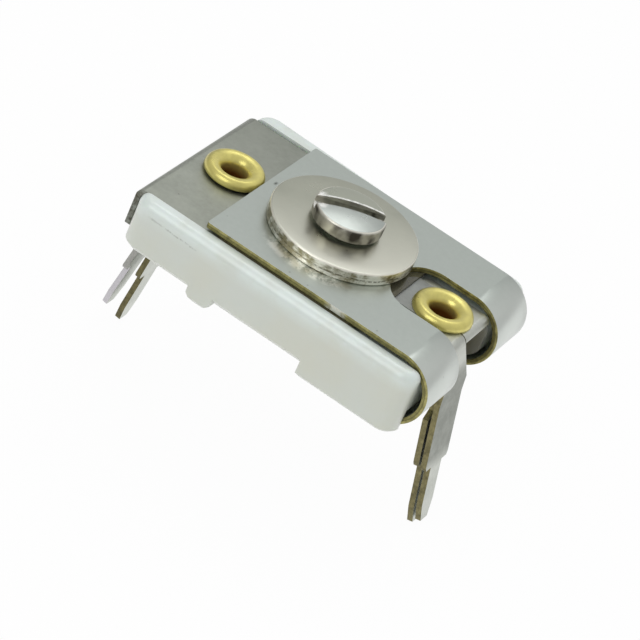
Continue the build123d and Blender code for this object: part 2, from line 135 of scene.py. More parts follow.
BEND_RELIEF = 0.12
TINE_HALF_Y = 0.54
TINE_TIP_HALF_Y = 0.32
TINE_TAPER_H = 0.9
SHOULDER_Z = 0.0
SHOULDER_H = 0.2
SHOULDER_CUT = 0.1

# Eyelets
EYELET_BORE_R = 0.64
EYELET_TUBE_R = 1.0
EYELET_CREST_R = 1.16
EYELET_FLANGE_R = 1.47
EYELET_ROLL_H = 0.4
EYELET_THROAT = 0.05
EYELET_FOOT_CREST_R = 0.98
EYELET_FOOT_R = 1.25
EYELET_FOOT_H = 0.3
ROLL_POINTS = 16

# Washer and screw
WASHER_BORE_R = 1.13
WASHER_EDGE_R = 0.09
SEAT_R = 1.3
SEAT_H = 0.12
HEAD_R = 1.7
HEAD_SIDE_H = 0.7
HEAD_EDGE_R = 0.14
SLOT_DEPTH = 0.5
SLOT_ANGLE_DEG = 31.0
SLOT_NEAR_Y = -0.26
SLOT_WEAR = 0.06
SLOT_MARGIN = 0.01
SLOT_EDGE_DEG = 50
WALL_FACING = 0.99
CROWN_RINGS = 12
SHANK_ROOT_R = 0.86
SHANK_CREST_R = 1.04
SHANK_CHAMFER = 0.2
THREAD_PITCH = 0.4536
THREAD_STEPS = 28
SHANK_OVERLAP = 0.02

# Screw thread: places below the head, half widths of a tooth and its ends in pitches, and how far
# its root is sunk as a share of its depth
RUN_OUT_TOP_H = 0.7
RUN_OUT_BOTTOM_H = 1.0
THREAD_TOP_H = 1.2
THREAD_ROOT = 0.42
THREAD_CREST = 0.08
THREAD_START = 0.75
THREAD_SHORT = 1.0
THREAD_SUNK = 0.3

# Shading: how far large flat faces outweigh their small rounded edges
FLAT_FACE_WEIGHT = 80

# Ceramic base
BASE_ROUND = 0.09
BASE_ROUND_FROM_DEG = 30

# Insert
INSERT_BORE_R = 1.1
INSERT_ROUND = 0.05
INSERT_THREAD_DEPTH = 0.12
INSERT_THREAD_SUNK = 0.4
INSERT_THREAD_ROOT = 0.36
INSERT_THREAD_START = 0.6
INSERT_THREAD_SHORT = 1.2
INSERT_THREAD_CREST = 0.02

# Steps in one turn of each round shape
HOLE_STEPS = 56
SHANK_STEPS = 64
EYELET_STEPS = 72
HEAD_STEPS = 112
WASHER_STEPS = 128

# How close counts as the same place
CUT_TOLERANCE = 1e-6
PLACE_TOLERANCE = 1e-5
MERGE_DISTANCE = 1e-4
FLAT_DEG = 0.5

# Places of marks, and of painted light and shade, on the surfaces
TOP_HIGHLIGHT_Z = (6.1, 6.95)
SCRATCH_CENTRE = (-5.3, -5.84, 6.5)
HOLLOW_SHADE_X = (5.2, 6.0)
DIPPED_Z = (2.6, 4.6)
SOLDER_CRUMB_AT = (-3.97, 0.62)
FILM_SHRED_X = 2.7
DEPTH_LAYER = "through_sheet"

# Stage
FLOOR_SIZE = 600
FLOOR_GREY = 0.95
FLOOR_GLOW = 0.96
LAMP_AIM = (0, 0, 6)
OVERHEAD_AT = (-45, 100, 205)
OVERHEAD_SIZE = (140, 105)
OVERHEAD_WATTS = 0.065
FRONT_AT = (-48, -150, 140)
FRONT_SIZE = (130, 130)
FRONT_WATTS = 0.1

# Photograph
PICTURE_PX = 640
SENSOR_MM = 36.0
CAMERA_AT = (39.226, -130.148, 93.055)
CAMERA_AZIMUTH = 16.4547
CAMERA_ELEVATION = 33.5629
CAMERA_ROLL = -24.5609
CAMERA_FOCAL_PX = 3579.89
CAMERA_CLIP_M = (0.01, 10)


class TrimmerSizes(bpy.types.PropertyGroup):
    """Sizes of this trimmer that a user would change first."""

    slot_width: bpy.props.FloatProperty(
        name="Slot width", description="Width of the driver slot in the screw head",
        default=0.62 * MM, unit="LENGTH", precision=5)
    edge_round: bpy.props.FloatProperty(
        name="Edge round", description="Radius of the punched edges of the sheet metal pieces",
        default=EDGE_ROUND * MM, unit="LENGTH", precision=5)
    floor_gap: bpy.props.FloatProperty(
        name="Floor gap", description="Gap between the tine tips and the floor of the stage",
        default=0.02 * MM, unit="LENGTH", precision=5)


def colour_property(title, words, hex_code):
    """Colour property with an sRGB hex default, kept as linear values."""
    return bpy.props.FloatVectorProperty(
        name=title, description=words, default=linear(hex_code), size=3, min=0, max=1,
        subtype="COLOR")


def linear(hex_code):
    """Linear colour from an sRGB hex code."""
    values = []
    for i in (0, 2, 4):
        share = int(hex_code[i:i + 2], 16) / 255
        values.append(share / 12.92 if share <= 0.04045 else ((share + 0.055) / 1.055) ** 2.4)
    return tuple(values)


class TrimmerColours(bpy.types.PropertyGroup):
    """Colours of this trimmer's finishes."""

    ceramic: colour_property("Ceramic", "Glazed steatite of the base", "D3D9CF")
    tin: colour_property("Dull tin", "Dull tinning of the left plate", "ABAFA5")
    bright_tin: colour_property(
        "Bright tin", "Brighter tinning of the blades and the right plate", "D2D5CD")
    spring: colour_property("Spring sheet", "Tin plated spring leaf", "B9C0BA")
    cut_brass: colour_property("Cut brass", "Sheared brass edges of the spring sheet", "A59F68")
    brown_brass: colour_property("Browned brass", "Sheared edges of the left lower terminal", "6E6848")
    olive_brass: colour_property("Olive brass", "Sheared edges of the right terminals", "857E5A")
    brass: colour_property("Brass", "Rolled brass eyelets", "E9DE84")
    nickel: colour_property("Nickel", "Nickel plated washer", "B6B8AA")
    screw_nickel: colour_property("Screw nickel", "Nickel plated crown of the screw", "B9BFBA")
    mica: colour_property("Mica", "Smoky mica films", "A8A27C")


def sizes():
    """The sizes that are set in the panel."""
    return bpy.context.scene.trimmer_sizes


def colours():
    """The colours that are set in the panel."""
    return bpy.context.scene.trimmer_colours


# Mesh helpers, all in millimetres

def finish_piece(bm, name, materials, body, replaces):
    """Turn a mesh in millimetres into a piece in metres that rides on a body and stands for a CAD node."""
    bmesh.ops.scale(bm, vec=(MM, MM, MM), verts=bm.verts)
    for face in bm.faces:
        face.smooth = True
    mesh = bpy.data.meshes.new(name)
    bm.to_mesh(mesh)
    bm.free()
    for material in materials:
        mesh.materials.append(material)
    piece = bpy.data.objects.new(name, mesh)
    bpy.context.scene.collection.objects.link(piece)
    weighted = piece.modifiers.new("Even shading", "WEIGHTED_NORMAL")
    weighted.keep_sharp = True
    weighted.weight = FLAT_FACE_WEIGHT
    if body:
        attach(piece, body)
    if replaces:
        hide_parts(*replaces)
    return piece


def sharp_edges(bm, degrees):
    """Edges whose two faces meet at more than an angle."""
    limit = math.radians(degrees)
    return [e for e in bm.edges if len(e.link_faces) == 2 and e.calc_face_angle(0) > limit]


def round_edges(bm, width, segments, degrees=38):
    """Round the sharp edges of a closed shape."""
    bmesh.ops.bevel(
        bm, geom=sharp_edges(bm, degrees), offset=width, offset_type="OFFSET", segments=segments,
        profile=0.5, affect="EDGES", clamp_overlap=True, material=-1, loop_slide=True)


def outline_edges(bm, corners, rounds=None, segments=8):
    """Closed flat outline with some corners rounded, as loose edges."""
    verts = [bm.verts.new((x, y, 0)) for x, y in corners]
    bm.faces.new(verts)
    for index, radius in (rounds or {}).items():
        bmesh.ops.bevel(
            bm, geom=[verts[index]], offset=radius, offset_type="OFFSET", segments=segments,
            profile=0.5, affect="VERTICES", clamp_overlap=False, material=-1)
    face = [f for f in bm.faces if f.is_valid][-1]
    edges = list(face.edges)
    bmesh.ops.delete(bm, geom=[face], context="FACES_ONLY")
    return edges


def hole_edges(bm, x, radius):
    """Round hole as loose edges."""
    made = bmesh.ops.create_circle(
        bm, cap_ends=False, segments=HOLE_STEPS, radius=radius, matrix=Matrix.Translation((x, 0, 0)))
    return list({e for v in made["verts"] for e in v.link_edges})


def join_flat_faces(bm):
    """Make neighbouring faces that lie in one plane into one face."""
    bmesh.ops.dissolve_limit(
        bm, angle_limit=math.radians(FLAT_DEG), use_dissolve_boundaries=False,
        verts=bm.verts, edges=bm.edges)


def fill_blank(bm, edges):
    """Flat sheet between an outline and its holes."""
    bmesh.ops.triangle_fill(bm, use_beauty=True, use_dissolve=False, edges=edges, normal=(0, 0, 1))
    join_flat_faces(bm)


def fold_plan(corners, radii):
    """Folds and runs of a strip from the corners of its middle line.

    Each fold is (blank x where it starts, radius, angle downwards).
    Each run is the blank x of its first corner.
    """
    folds = []
    runs = []
    at = corners[0][0]
    trim = 0.0
    for i in range(len(corners) - 1):
        dx = corners[i + 1][0] - corners[i][0]
        dz = corners[i + 1][1] - corners[i][1]
        length = math.hypot(dx, dz)
        heading = math.atan2(-dz, dx)
        runs.append(at - trim)
        if i == len(corners) - 2:
            break
        next_dx = corners[i + 2][0] - corners[i + 1][0]
        next_dz = corners[i + 2][1] - corners[i + 1][1]
        ahead = math.atan2(-next_dz, next_dx)
        angle = ahead - heading
        next_trim = radii[i] * math.tan(abs(angle) / 2)
        at += length - trim - next_trim
        folds.append((at, radii[i], angle))
        at += radii[i] * abs(angle)
        trim = next_trim
    return folds, runs


def cut_at(bm, place, facing, tolerance=CUT_TOLERANCE):
    """Cut every face along a plane through a place."""
    geom = bm.verts[:] + bm.edges[:] + bm.faces[:]
    bmesh.ops.bisect_plane(bm, geom=geom, dist=tolerance, plane_co=place, plane_no=facing)


def fold_blank(bm, folds, z):
    """Lift a flat blank to its height and fold it downwards, the far folds first."""
    lines = []
    for start, radius, angle in folds:
        steps = max(2, math.ceil(math.degrees(abs(angle)) / FOLD_STEP_DEG))
        for k in range(steps):
            lines.append((start + radius * abs(angle) * (k + 0.5) / steps, angle / steps))
    for x, _ in lines:
        cut_at(bm, (x, 0, 0), (1, 0, 0))
    along = bm.verts.layers.float.new("along")
    for v in bm.verts:
        v[along] = v.co.x
    bmesh.ops.translate(bm, vec=(0, 0, z), verts=bm.verts)
    for x, angle in reversed(lines):
        beyond = [v for v in bm.verts if v[along] > x + PLACE_TOLERANCE]
        bmesh.ops.rotate(bm, cent=(x, 0, z), matrix=Matrix.Rotation(angle, 3, "Y"), verts=beyond)


def thicken_sheet(bm):
    """Give a folded middle surface its thickness; the new rim faces get the second material."""
    bmesh.ops.recalc_face_normals(bm, faces=bm.faces)
    old = set(bm.verts)
    for v in bm.verts:
        v.normal_update()
    shift = {v: v.normal.copy() for v in bm.verts}
    for v, normal in shift.items():
        v.co += normal * (SHEET_T / 2)
    bmesh.ops.solidify(bm, geom=bm.faces[:], thickness=SHEET_T)
    for face in bm.faces:
        sides = {v in old for v in face.verts}
        face.material_index = 1 if len(sides) == 2 else 0
    bmesh.ops.recalc_face_normals(bm, faces=bm.faces)


def grid_cuts(bm, x_lines, y_lines):
    """Cut a flat blank into smaller faces, so that it bends and shades evenly."""
    for x in x_lines:
        cut_at(bm, (x, 0, 0), (1, 0, 0))
    for y in y_lines:
        cut_at(bm, (0, y, 0), (0, 1, 0))


def turned_shape(bm, outline, steps, x=0.0, closed=False):
    """Turn an outline of (radius, z) points once about an upright axis."""
    verts = [bm.verts.new((x + r, 0, z)) for r, z in outline]
    edges = [bm.edges.new(pair) for pair in zip(verts, verts[1:])]
    if closed:
        edges.append(bm.edges.new((verts[-1], verts[0])))
    bmesh.ops.spin(
        bm, geom=verts + edges, cent=(x, 0, 0), axis=(0, 0, 1), dvec=(0, 0, 0), angle=2 * math.pi,
        space=Matrix.Identity(4), steps=steps, use_merge=True, use_normal_flip=False,
        use_duplicate=False)
    bmesh.ops.remove_doubles(bm, verts=bm.verts, dist=MERGE_DISTANCE)
    bmesh.ops.recalc_face_normals(bm, faces=bm.faces)


def arc_points(centre, radius, start_deg, end_deg, count):
    """Points on an arc in an outline of (radius, z)."""
    points = []
    for i in range(count + 1):
        angle = math.radians(start_deg + (end_deg - start_deg) * i / count)
        points.append((centre[0] + radius * math.cos(angle), centre[1] + radius * math.sin(angle)))
    return points


def cad_copy(node):
    """Merged copy of a CAD node's mesh in millimetres, with its flat faces whole again."""
    bm = bmesh.new()
    bm.from_mesh(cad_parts[node].data)
    bmesh.ops.scale(bm, vec=(1 / MM, 1 / MM, 1 / MM), verts=bm.verts)
    bmesh.ops.remove_doubles(bm, verts=bm.verts, dist=MERGE_DISTANCE)
    join_flat_faces(bm)
    return bm


# Material helpers

def fill_socket(socket, value):
    """Link a socket to another node's output, or give it a fixed value."""
    if isinstance(value, bpy.types.NodeSocket):
        socket.id_data.links.new(value, socket)
    elif socket.type == "RGBA":
        socket.default_value = (*value, 1)
    else:
        socket.default_value = value


def add_node(tree, kind, *values, **settings):
    """Add a shader node and return the first output that it uses.

    The values fill the inputs that it uses, in their order. A setting with a capital fills the input of
    that name, and any other sets the node's own field.
    """
    node = tree.nodes.new("ShaderNode" + kind)
    for field, value in settings.items():
        if field[0].islower():
            setattr(node, field, value)
    used = [s for s in node.inputs if s.enabled]
    for socket, value in zip(used, values):
        fill_socket(socket, value)
    for name, value in settings.items():
        if name[0].isupper():
            fill_socket(node.inputs[name], value)
    return next(s for s in node.outputs if s.enabled)


def made_once(paint):
    """Make the material that is named like its function, or use the one that the file has."""
    @wraps(paint)
    def make():
        material = bpy.data.materials.get(paint.__name__)
        if material is None:
            material = bpy.data.materials.new(paint.__name__)
            material.use_nodes = True
            tree = material.node_tree
            paint(partial(add_node, tree), tree.nodes["Principled BSDF"])
        return material
    return make


def finish_surface(shader, values):
    """Fill the named inputs of a surface shader."""
    for name, value in values.items():
        fill_socket(shader.inputs[name], value)


def object_point(add, centre=(0, 0, 0), stretch=(1, 1, 1), turn_deg=(0, 0, 0)):
    """Object coordinates in millimetres from a centre, stretched and then turned."""
    place = add("TexCoord").node.outputs["Object"]
    moved = add("VectorMath", place, tuple(c * MM for c in centre), operation="SUBTRACT")
    return add("Mapping", moved, Rotation=tuple(math.radians(a) for a in turn_deg),
               Scale=tuple(s / MM for s in stretch))


def product(add, *shares):
    """Several shares multiplied together."""
    result = shares[0]
    for share in shares[1:]:
        result = add("Math", result, share, operation="MULTIPLY")
    return result


def weighed(add, *parts):
    """Sum of patterns, each times its weight."""
    total = 0.0
    for pattern, weight in parts:
        total = add("Math", pattern, weight, total, operation="MULTIPLY_ADD")
    return total


def near(add, value, centre, reach, soft):
    """Share that is 1 within a reach of a place and falls to 0 over a soft border."""
    away = add("Math", add("Math", value, centre, operation="SUBTRACT"), operation="ABSOLUTE")
    return add("MapRange", away, reach, reach + soft, 1.0, 0.0)


def far_from_axis(add, x, y):
    """Distance from an upright axis."""
    return add("VectorMath", add("CombineXYZ", x, y), operation="LENGTH")


def specks(add, point, spacing, core, rim, patch, kept_above):
    """Small round specks, kept only where a coarser pattern is high."""
    cells = add("TexVoronoi", point, Scale=1 / spacing)
    kept = add("Math", add("TexNoise", point, 1 / patch, 1.0), kept_above, operation="GREATER_THAN")
    return product(add, add("MapRange", cells, core, rim, 1.0, 0.0), kept)


def painted(add, tone, *coats):
    """Lay coats of (share, colour) over a tone, one after another."""
    for share, colour in coats:
        tone = add("Mix", share, tone, colour, data_type="RGBA")
    return tone


def relief(add, *layers):
    """Bumps of (pattern, height in millimetres, strength), one on top of another."""
    under = {}
    for pattern, height, strength in layers:
        normal = add("Bump", Height=pattern, Distance=height * MM, Strength=strength, **under)
        under = {"Normal": normal}
    return normal


def scaled(colour, amount):
    """Colour made lighter or darker."""
    return tuple(min(1.0, c * amount) for c in colour)


# Colours of marks, of painted light and shade, and of finishes that stay as they are

TOP_HIGHLIGHT_TINT = linear("E4F0EC")
IRON_SPECK = linear("7C7A66")
SCRATCH_GREY = linear("7F8678")
HOLLOW_SHADE_BROWN = linear("3B2E22")
SOLDER_GREY = linear("3C3F3A")
CURL_HIGHLIGHT = linear("EDF0EB")
WASHER_REFLECTION_TINT = linear("F8FAF6")
FOIL_GREY = linear("A2A5A2")
CLEAR_FILM = linear("DADAD0")
BARE_EDGE = linear("4C4838")
PIT_BROWN = linear("2E2A20")
BLADE_TIN = linear("BFBEBA")
TINE_TIN = linear("D2CFD4")
BORE_SHADE_BROWN = linear("7C4412")
HANDLING_MARK = linear("4A463A")
WASHER_FRONT_LIGHT = linear("F4F3E6")
FAR_CROWN_REFLECTION = linear("BCBFAE")
SLOT_EDGE_GLINT = linear("FFFFFA")
DIMMER_SLOT_GLINT = linear("E2E1D6")
TOP_EDGE_HIGHLIGHT = linear("F2F0E4")
MICA_NOTCH_SHADOW = linear("55564F")
WASHER_SIDE_REFLECTION_DARK = linear("A29A7C")
WASHER_SIDE_REFLECTION_LIGHT = linear("FFFDF0")
HEAD_SIDE_SHADE = linear("4C4840")
HEAD_SIDE_FACET_REFLECTION = linear("B4B1A4")


# Materials: a pattern's scale is one over its size in millimetres, followed by its detail and roughness

@made_once
def glazed_steatite(add, shader):
    """Pressed steatite with a thin clear glaze: a soft white with a faint green cast and a satin sheen."""
    body = tuple(colours().ceramic)
    warm = (body[0], body[1] * 0.965, body[2] * 0.9)
    point = object_point(add)
    x, y, z = add("SeparateXYZ", point).node.outputs
    clouds = add("MapRange", add("TexNoise", point, 1 / 2.6, 4.0), 0.35, 0.7)
    # Painted highlight: the top of the base turns cooler and paler, in patches, towards its top edges
    highlight_patchiness = add("MapRange", add("TexNoise", point, 1 / 1.2, 4.0, 0.6), 0.32, 0.6, 0.45, 1.0)
    painted_top_highlight = product(add, add("MapRange", z, *TOP_HIGHLIGHT_Z, 0.0, 0.9), highlight_patchiness)
    # Iron specks in the clay, a few to the square centimetre
    iron = product(add, specks(add, point, 1.9, 0.035, 0.06, 3.1, 0.56), 0.55)
    # A fine hairline scratch along the upper front face, at the left end
    scratch_point = object_point(add, centre=SCRATCH_CENTRE, turn_deg=(0, -1.5, 0))
    along, inward, upward = add("SeparateXYZ", scratch_point).node.outputs
    line = weighed(add, (upward, 1.0), (add("TexNoise", point, 1 / 0.9, 4.0, 0.7), -0.22))
    broken = add("MapRange", add("TexNoise", point, 1 / 0.16, 3.0, 0.7), 0.36, 0.6)
    scratch = product(add, near(add, line, -0.11, 0.0, 0.06), near(add, along, 0.0, 1.1, 0.3),
                      near(add, inward, 0.0, 0.4, 0.1), broken, 0.75)
    # Painted shade: dark brown in the end slot round the right eyelet, where the hollow lies in shadow
    uneven = add("MapRange", add("TexNoise", point, 1 / 0.8, 3.0), 0.25, 0.6, 0.8, 1.0)
    painted_hollow_shade = product(add, add("MapRange", x, *HOLLOW_SHADE_X), near(add, y, 0.0, 1.75, 0.5),
                    near(add, z, 5.4, 1.1, 0.4), uneven)
    tone = painted(add, body, (clouds, warm), (painted_top_highlight, TOP_HIGHLIGHT_TINT), (iron, IRON_SPECK),
                   (scratch, SCRATCH_GREY), (painted_hollow_shade, HOLLOW_SHADE_BROWN))
    finish_surface(shader, {
        "Base Color": tone, "Roughness": 0.42, "IOR": 1.52,
        "Coat Weight": 0.9, "Coat Roughness": 0.42, "Coat IOR": 2.1,
        "Subsurface Weight": 0.25, "Subsurface Radius": (0.5 * MM, 0.55 * MM, 0.45 * MM),
        "Subsurface Scale": 1.0,
        "Normal": relief(add, (add("TexNoise", point, 1 / 1.1, 2.0), 0.02, 0.5),
                         (add("TexNoise", point, 1 / 0.22, 2.0), 0.004, 0.5)),
    })


def tin_mottling(add, point):
    """Soft clouds of the tin, and the share of its darker mottling."""
    clouds = add("TexNoise", point, 1 / 1.9, 4.0, 0.55)
    fine = add("TexNoise", point, 1 / 0.3, 4.0, 0.7)
    return clouds, add("MapRange", weighed(add, (clouds, 0.55), (fine, 0.45)), 0.38, 0.62)


def tinned_metal(add, shader, colour, roughness, smear, before=(), after=()):
    """Tin over rolled brass sheet: fine mottling, soft clouds and a few pinpricks.

    Coats of (share, colour) can go on before the pinpricks and after them.
    """
    point = object_point(add)
    clouds, mottled = tin_mottling(add, point)
    grain = add("TexNoise", point, 1 / 0.14, 2.0, 0.6)
    # Pinpricks where the tin has not taken, drawn larger than the real ones so that they show
    pricks = product(add, specks(add, point, 0.62, 0.05, 0.1, 0.8, 0.57), 0.5)
    tone = painted(add, colour, (mottled, scaled(colour, 1.0 - smear)), *before,
                   (pricks, scaled(colour, 0.35)), *after)
    finish_surface(shader, {
        "Base Color": tone, "Metallic": 1.0,
        "Roughness": add("MapRange", weighed(add, (clouds, 1.0), (grain, 0.4)), 0.4, 1.0, *roughness),
        "Normal": relief(add, (clouds, 0.02, 0.3), (grain, 0.003, 0.6)),
    })


@made_once
def dull_tinned_sheet(add, shader):
    """Left terminal stock with dull hot tinning: mottled greenish grey, brighter on the blade, and with
    painted shade darker towards the rear.
    """
    colour = tuple(colours().tin)
    bright = tuple(colours().bright_tin)
    smear = 0.16
    point = object_point(add)
    x, y, z = add("SeparateXYZ", point).node.outputs
    bright_tone = painted(add, bright, (tin_mottling(add, point)[1], scaled(bright, 1.0 - smear)))
    # Painted shade: the plate grows darker towards the rear
    painted_rear_shade = add("MapRange", y, -1.0, 4.5, 0.0, 0.4)
    dipped = add("MapRange", z, *DIPPED_Z, 1.0, 0.0)
    tinned_metal(add, shader, colour, (0.38, 0.56), smear,
                 before=((painted_rear_shade, scaled(colour, 0.5)), (dipped, bright_tone)))


@made_once
def half_dipped_tinned_sheet(add, shader):
    """Right outer terminal: pale satin plate and tine, with a dull patchy stretch of leg between them."""
    point = object_point(add)
    x, y, z = add("SeparateXYZ", point).node.outputs
    patches = add("MapRange", add("TexNoise", point, 1 / 0.7, 4.0, 0.7), 0.3, 0.6, 0.7, 1.0)
    dull = product(add, near(add, z, 2.7, 2.0, 0.9), patches)
    tinned_metal(add, shader, scaled(colours().bright_tin, 0.95), (0.34, 0.5), 0.14,
                 after=((dull, scaled(colours().tin, 0.62)),))


@made_once
def bright_tinned_sheet(add, shader):
    """Terminal stock with fresh tinning: pale satin grey."""
    tinned_metal(add, shader, tuple(colours().bright_tin), (0.34, 0.5), 0.12)


@made_once
def tinned_spring_sheet(add, shader):
    """Electroplated spring sheet: cold satin grey, with a painted highlight round the curl and a painted
    reflection of the washer beside it.
    """
    point = object_point(add)
    x, y, z = add("SeparateXYZ", point).node.outputs
    # A speck of solder at the left of the washer
    crumb = product(add, near(add, x, SOLDER_CRUMB_AT[0], 0.01, 0.09),
                    near(add, y, SOLDER_CRUMB_AT[1], 0.04, 0.16), 0.8)
    # Painted highlight: brighter towards the end of the curl
    painted_curl_highlight = add("MapRange", x, 6.6, 7.6, 0.0, 0.42)
    # Painted reflection: a bright crescent on the top leaf in front of the washer, where the washer's side is
    # mirrored
    patches = add("TexNoise", object_point(add, stretch=(1.0, 0.6, 1.0)), 1 / 0.42, 3.0, 0.7)
    painted_light = product(add, near(add, far_from_axis(add, x, y), WASHER_HIGH.x + 0.1, 0.3, 0.35),
                     near(add, x, 0.1, 1.5, 1.0), add("MapRange", y, -3.2, -2.8, 1.0, 0.0),
                     add("MapRange", patches, 0.42, 0.56), add("MapRange", z, 6.4, 6.8), 0.85)
    tinned_metal(add, shader, tuple(colours().spring), (0.3, 0.42), 0.06,
                 after=((crumb, SOLDER_GREY), (painted_curl_highlight, CURL_HIGHLIGHT), (painted_light, WASHER_REFLECTION_TINT)))


@made_once
def aged_foil(add, shader):
    """Thin tinned foil between the films: dull grey."""
    tinned_metal(add, shader, FOIL_GREY, (0.4, 0.55), 0.2)


def torn_mottling(add):
    """Mottling of a torn edge, in object coordinates."""
    return add("TexNoise", object_point(add), 1 / 0.32, 4.0, 0.65)


def cut_edge_metal(add, shader, colour, coats=()):
    """Torn brass at a punched edge: mottled, with tears across the sheet.

    The real tears are too fine to show, so they are drawn as coarse as they need to be.
    """
    tears = add("TexNoise", object_point(add, stretch=(1.0, 1.0, 0.25)), 1 / 0.11, 2.0, 0.6)
    torn = product(add, add("MapRange", tears, 0.45, 0.7), 0.4)
    tone = painted(add, scaled(colour, 0.62),
                   (add("MapRange", torn_mottling(add), 0.35, 0.65), scaled(colour, 1.25)),
                   (torn, scaled(colour, 0.45)), *coats)
    finish_surface(shader, {"Base Color": tone, "Metallic": 0.85, "Roughness": 0.48,
                            "Normal": relief(add, (tears, 0.02, 0.6))})


@made_once
def sheared_brass_edge(add, shader):
    """Raw brass at the punched edges of the spring: olive, in two layers with a dark seam between them.

    The upper layer is what the punch cut, and the lower and darker one broke away.
    """
    colour = tuple(colours().cut_brass)
    through = add("Attribute", attribute_name=DEPTH_LAYER).node.outputs["Fac"]
    wavy = add("Math", weighed(add, (through, 1.0), (torn_mottling(add), 0.5)), 0.25, operation="SUBTRACT")
    lower = add("MapRange", wavy, -0.15, 0.1, 0.3, 0.0)
    seam = product(add, near(add, wavy, 0.0, 0.1, 0.2), 0.6)
    # A shred of clear film caught over the front edge
    point = object_point(add)
    x, y, z = add("SeparateXYZ", point).node.outputs
    ragged = add("MapRange", add("TexNoise", point, 1 / 0.25, 3.0), 0.38, 0.5, 0.3, 0.9)
    shred = product(add, near(add, x, FILM_SHRED_X, 0.35, 0.25),
                    add("MapRange", y, -4.9, -4.7, 1.0, 0.0), ragged)
    cut_edge_metal(add, shader, colour, ((lower, scaled(colour, 0.3)), (seam, scaled(colour, 0.25)),
                                         (shred, CLEAR_FILM)))


@made_once
def browned_brass_edge(add, shader):
    """Tarnished brass at the edges of the left lower terminal: brownish olive."""
    cut_edge_metal(add, shader, tuple(colours().brown_brass))


@made_once
def olive_brass_edge(add, shader):
    """Half tarnished brass at the edges of the right terminals: dull olive."""
    cut_edge_metal(add, shader, tuple(colours().olive_brass))


@made_once
def tinned_punched_edge(add, shader):
    """Punched edge that the tin has crept over: dark grey, pitted and patchy, with brown where it is bare."""
    point = object_point(add)
    x, y, z = add("SeparateXYZ", point).node.outputs
    patches = add("MapRange", add("TexNoise", point, 1 / 0.45, 4.0, 0.65), 0.35, 0.62)
    pits = add("TexNoise", point, 1 / 0.12, 2.0, 0.6)
    # The tin lies thick on the edges of the blade, thickest on its tine
    blade = add("MapRange", z, 2.0, 3.2, 0.6, 0.0)
    tine = add("MapRange", z, -0.2, 0.2, 0.85, 0.0)
    tone = painted(add, BARE_EDGE, (patches, scaled(colours().tin, 0.7)),
                   (add("MapRange", pits, 0.5, 0.7, 0.0, 0.6), PIT_BROWN),
                   (blade, BLADE_TIN), (tine, TINE_TIN))
    finish_surface(shader, {"Base Color": tone, "Metallic": 0.9, "Roughness": 0.5,
                            "Normal": relief(add, (pits, 0.02, 0.6))})


@made_once
def rolled_brass_eyelet(add, shader):
    """Eyelet brass burnished by the rolling tool: bright yellow, with painted shade in olive on the left
    flank of the rim and in dark red brown down inside the bore.
    """
    colour = tuple(colours().brass)
    crest_z = LEFT_EYELET_HIGH.z
    point = object_point(add)
    x, y, z = add("SeparateXYZ", point).node.outputs
    across = add("Math", add("Math", x, operation="ABSOLUTE"), EYELET_X, operation="SUBTRACT")
    radius = far_from_axis(add, across, y)
    # Painted shade: dark red brown deepening down the bore
    inside = add("MapRange", radius, EYELET_BORE_R + 0.08, EYELET_BORE_R + 0.18, 1.0, 0.0)
    bore = product(add, inside, add("MapRange", z, crest_z - 0.85, crest_z - 0.25, 0.95, 0.0))
    clouds = add("TexNoise", point, 1 / 0.6, 3.0)
    # Painted shade: the left flank of the rolled rim is darkened to olive
    rightwards = product(add, across, add("Math", x, operation="SIGN"))
    left = add("MapRange", rightwards, -(EYELET_BORE_R + 0.66), -(EYELET_BORE_R + 0.2), 1.0, 0.0)
    patchy = add("MapRange", add("TexNoise", point, 1 / 0.35, 4.0, 0.7), 0.36, 0.62, 0.3, 0.8)
    tone = painted(add, colour, (add("MapRange", clouds, 0.35, 0.7), scaled(colour, 0.8)),
                   (product(add, left, patchy), scaled(colour, 0.42)), (bore, BORE_SHADE_BROWN))
    finish_surface(shader, {
        "Base Color": tone, "Metallic": 0.58,
        "Roughness": add("MapRange", clouds, 0.0, 1.0, 0.22, 0.38),
        "Normal": relief(add, (add("TexNoise", point, 1 / 0.5, 2.0), 0.03, 0.35),
                         (add("TexNoise", point, 1 / 0.09, 1.0), 0.003, 0.4)),
    })


def turned_nickel(add, shader, colour, roughness, ring_height, coats, metallic=1.0):
    """Nickel plate over turned metal: warm silver, faint turning rings and a few handling marks.

    Coats of (share, colour) go on last.
    """
    point = object_point(add)
    x, y, z = add("SeparateXYZ", point).node.outputs
    # The real turning rings are too fine to show, so they are drawn as coarse as they need to be
    rings = add("TexNoise", add("CombineXYZ", far_from_axis(add, x, y)), 1 / 0.14, 2.0, 0.7)
    clouds = add("TexNoise", point, 1 / 1.6, 4.0, 0.6)
    pricks = product(add, specks(add, point, 1.3, 0.03, 0.06, 1.1, 0.57), 0.6)
    tone = painted(add, colour, (add("MapRange", clouds, 0.35, 0.68), scaled(colour, 0.88)),
                   (pricks, HANDLING_MARK), *coats)
    finish_surface(shader, {
        "Base Color": tone, "Metallic": metallic,
        "Roughness": add("MapRange", clouds, 0.3, 0.75, *roughness),
        "Normal": relief(add, (rings, ring_height, 0.4),
                         (add("TexNoise", point, 1 / 1.3, 2.0), 0.02, 0.3)),
    })


@made_once
def nickel_plated_washer(add, shader):
    """Barrel plated washer: smooth warm silver with soft clouding, and painted light that makes it brighter
    at the front right.
    """
    x, y, z = add("SeparateXYZ", object_point(add)).node.outputs
    # Painted light: brighter towards the front right
    painted_light = add("MapRange", weighed(add, (x, 1.0), (y, -1.2)), -2.5, 5.0, 0.0, 0.6)
    turned_nickel(add, shader, tuple(colours().nickel), (0.26, 0.38), 0.0004,
                  ((painted_light, WASHER_FRONT_LIGHT),))


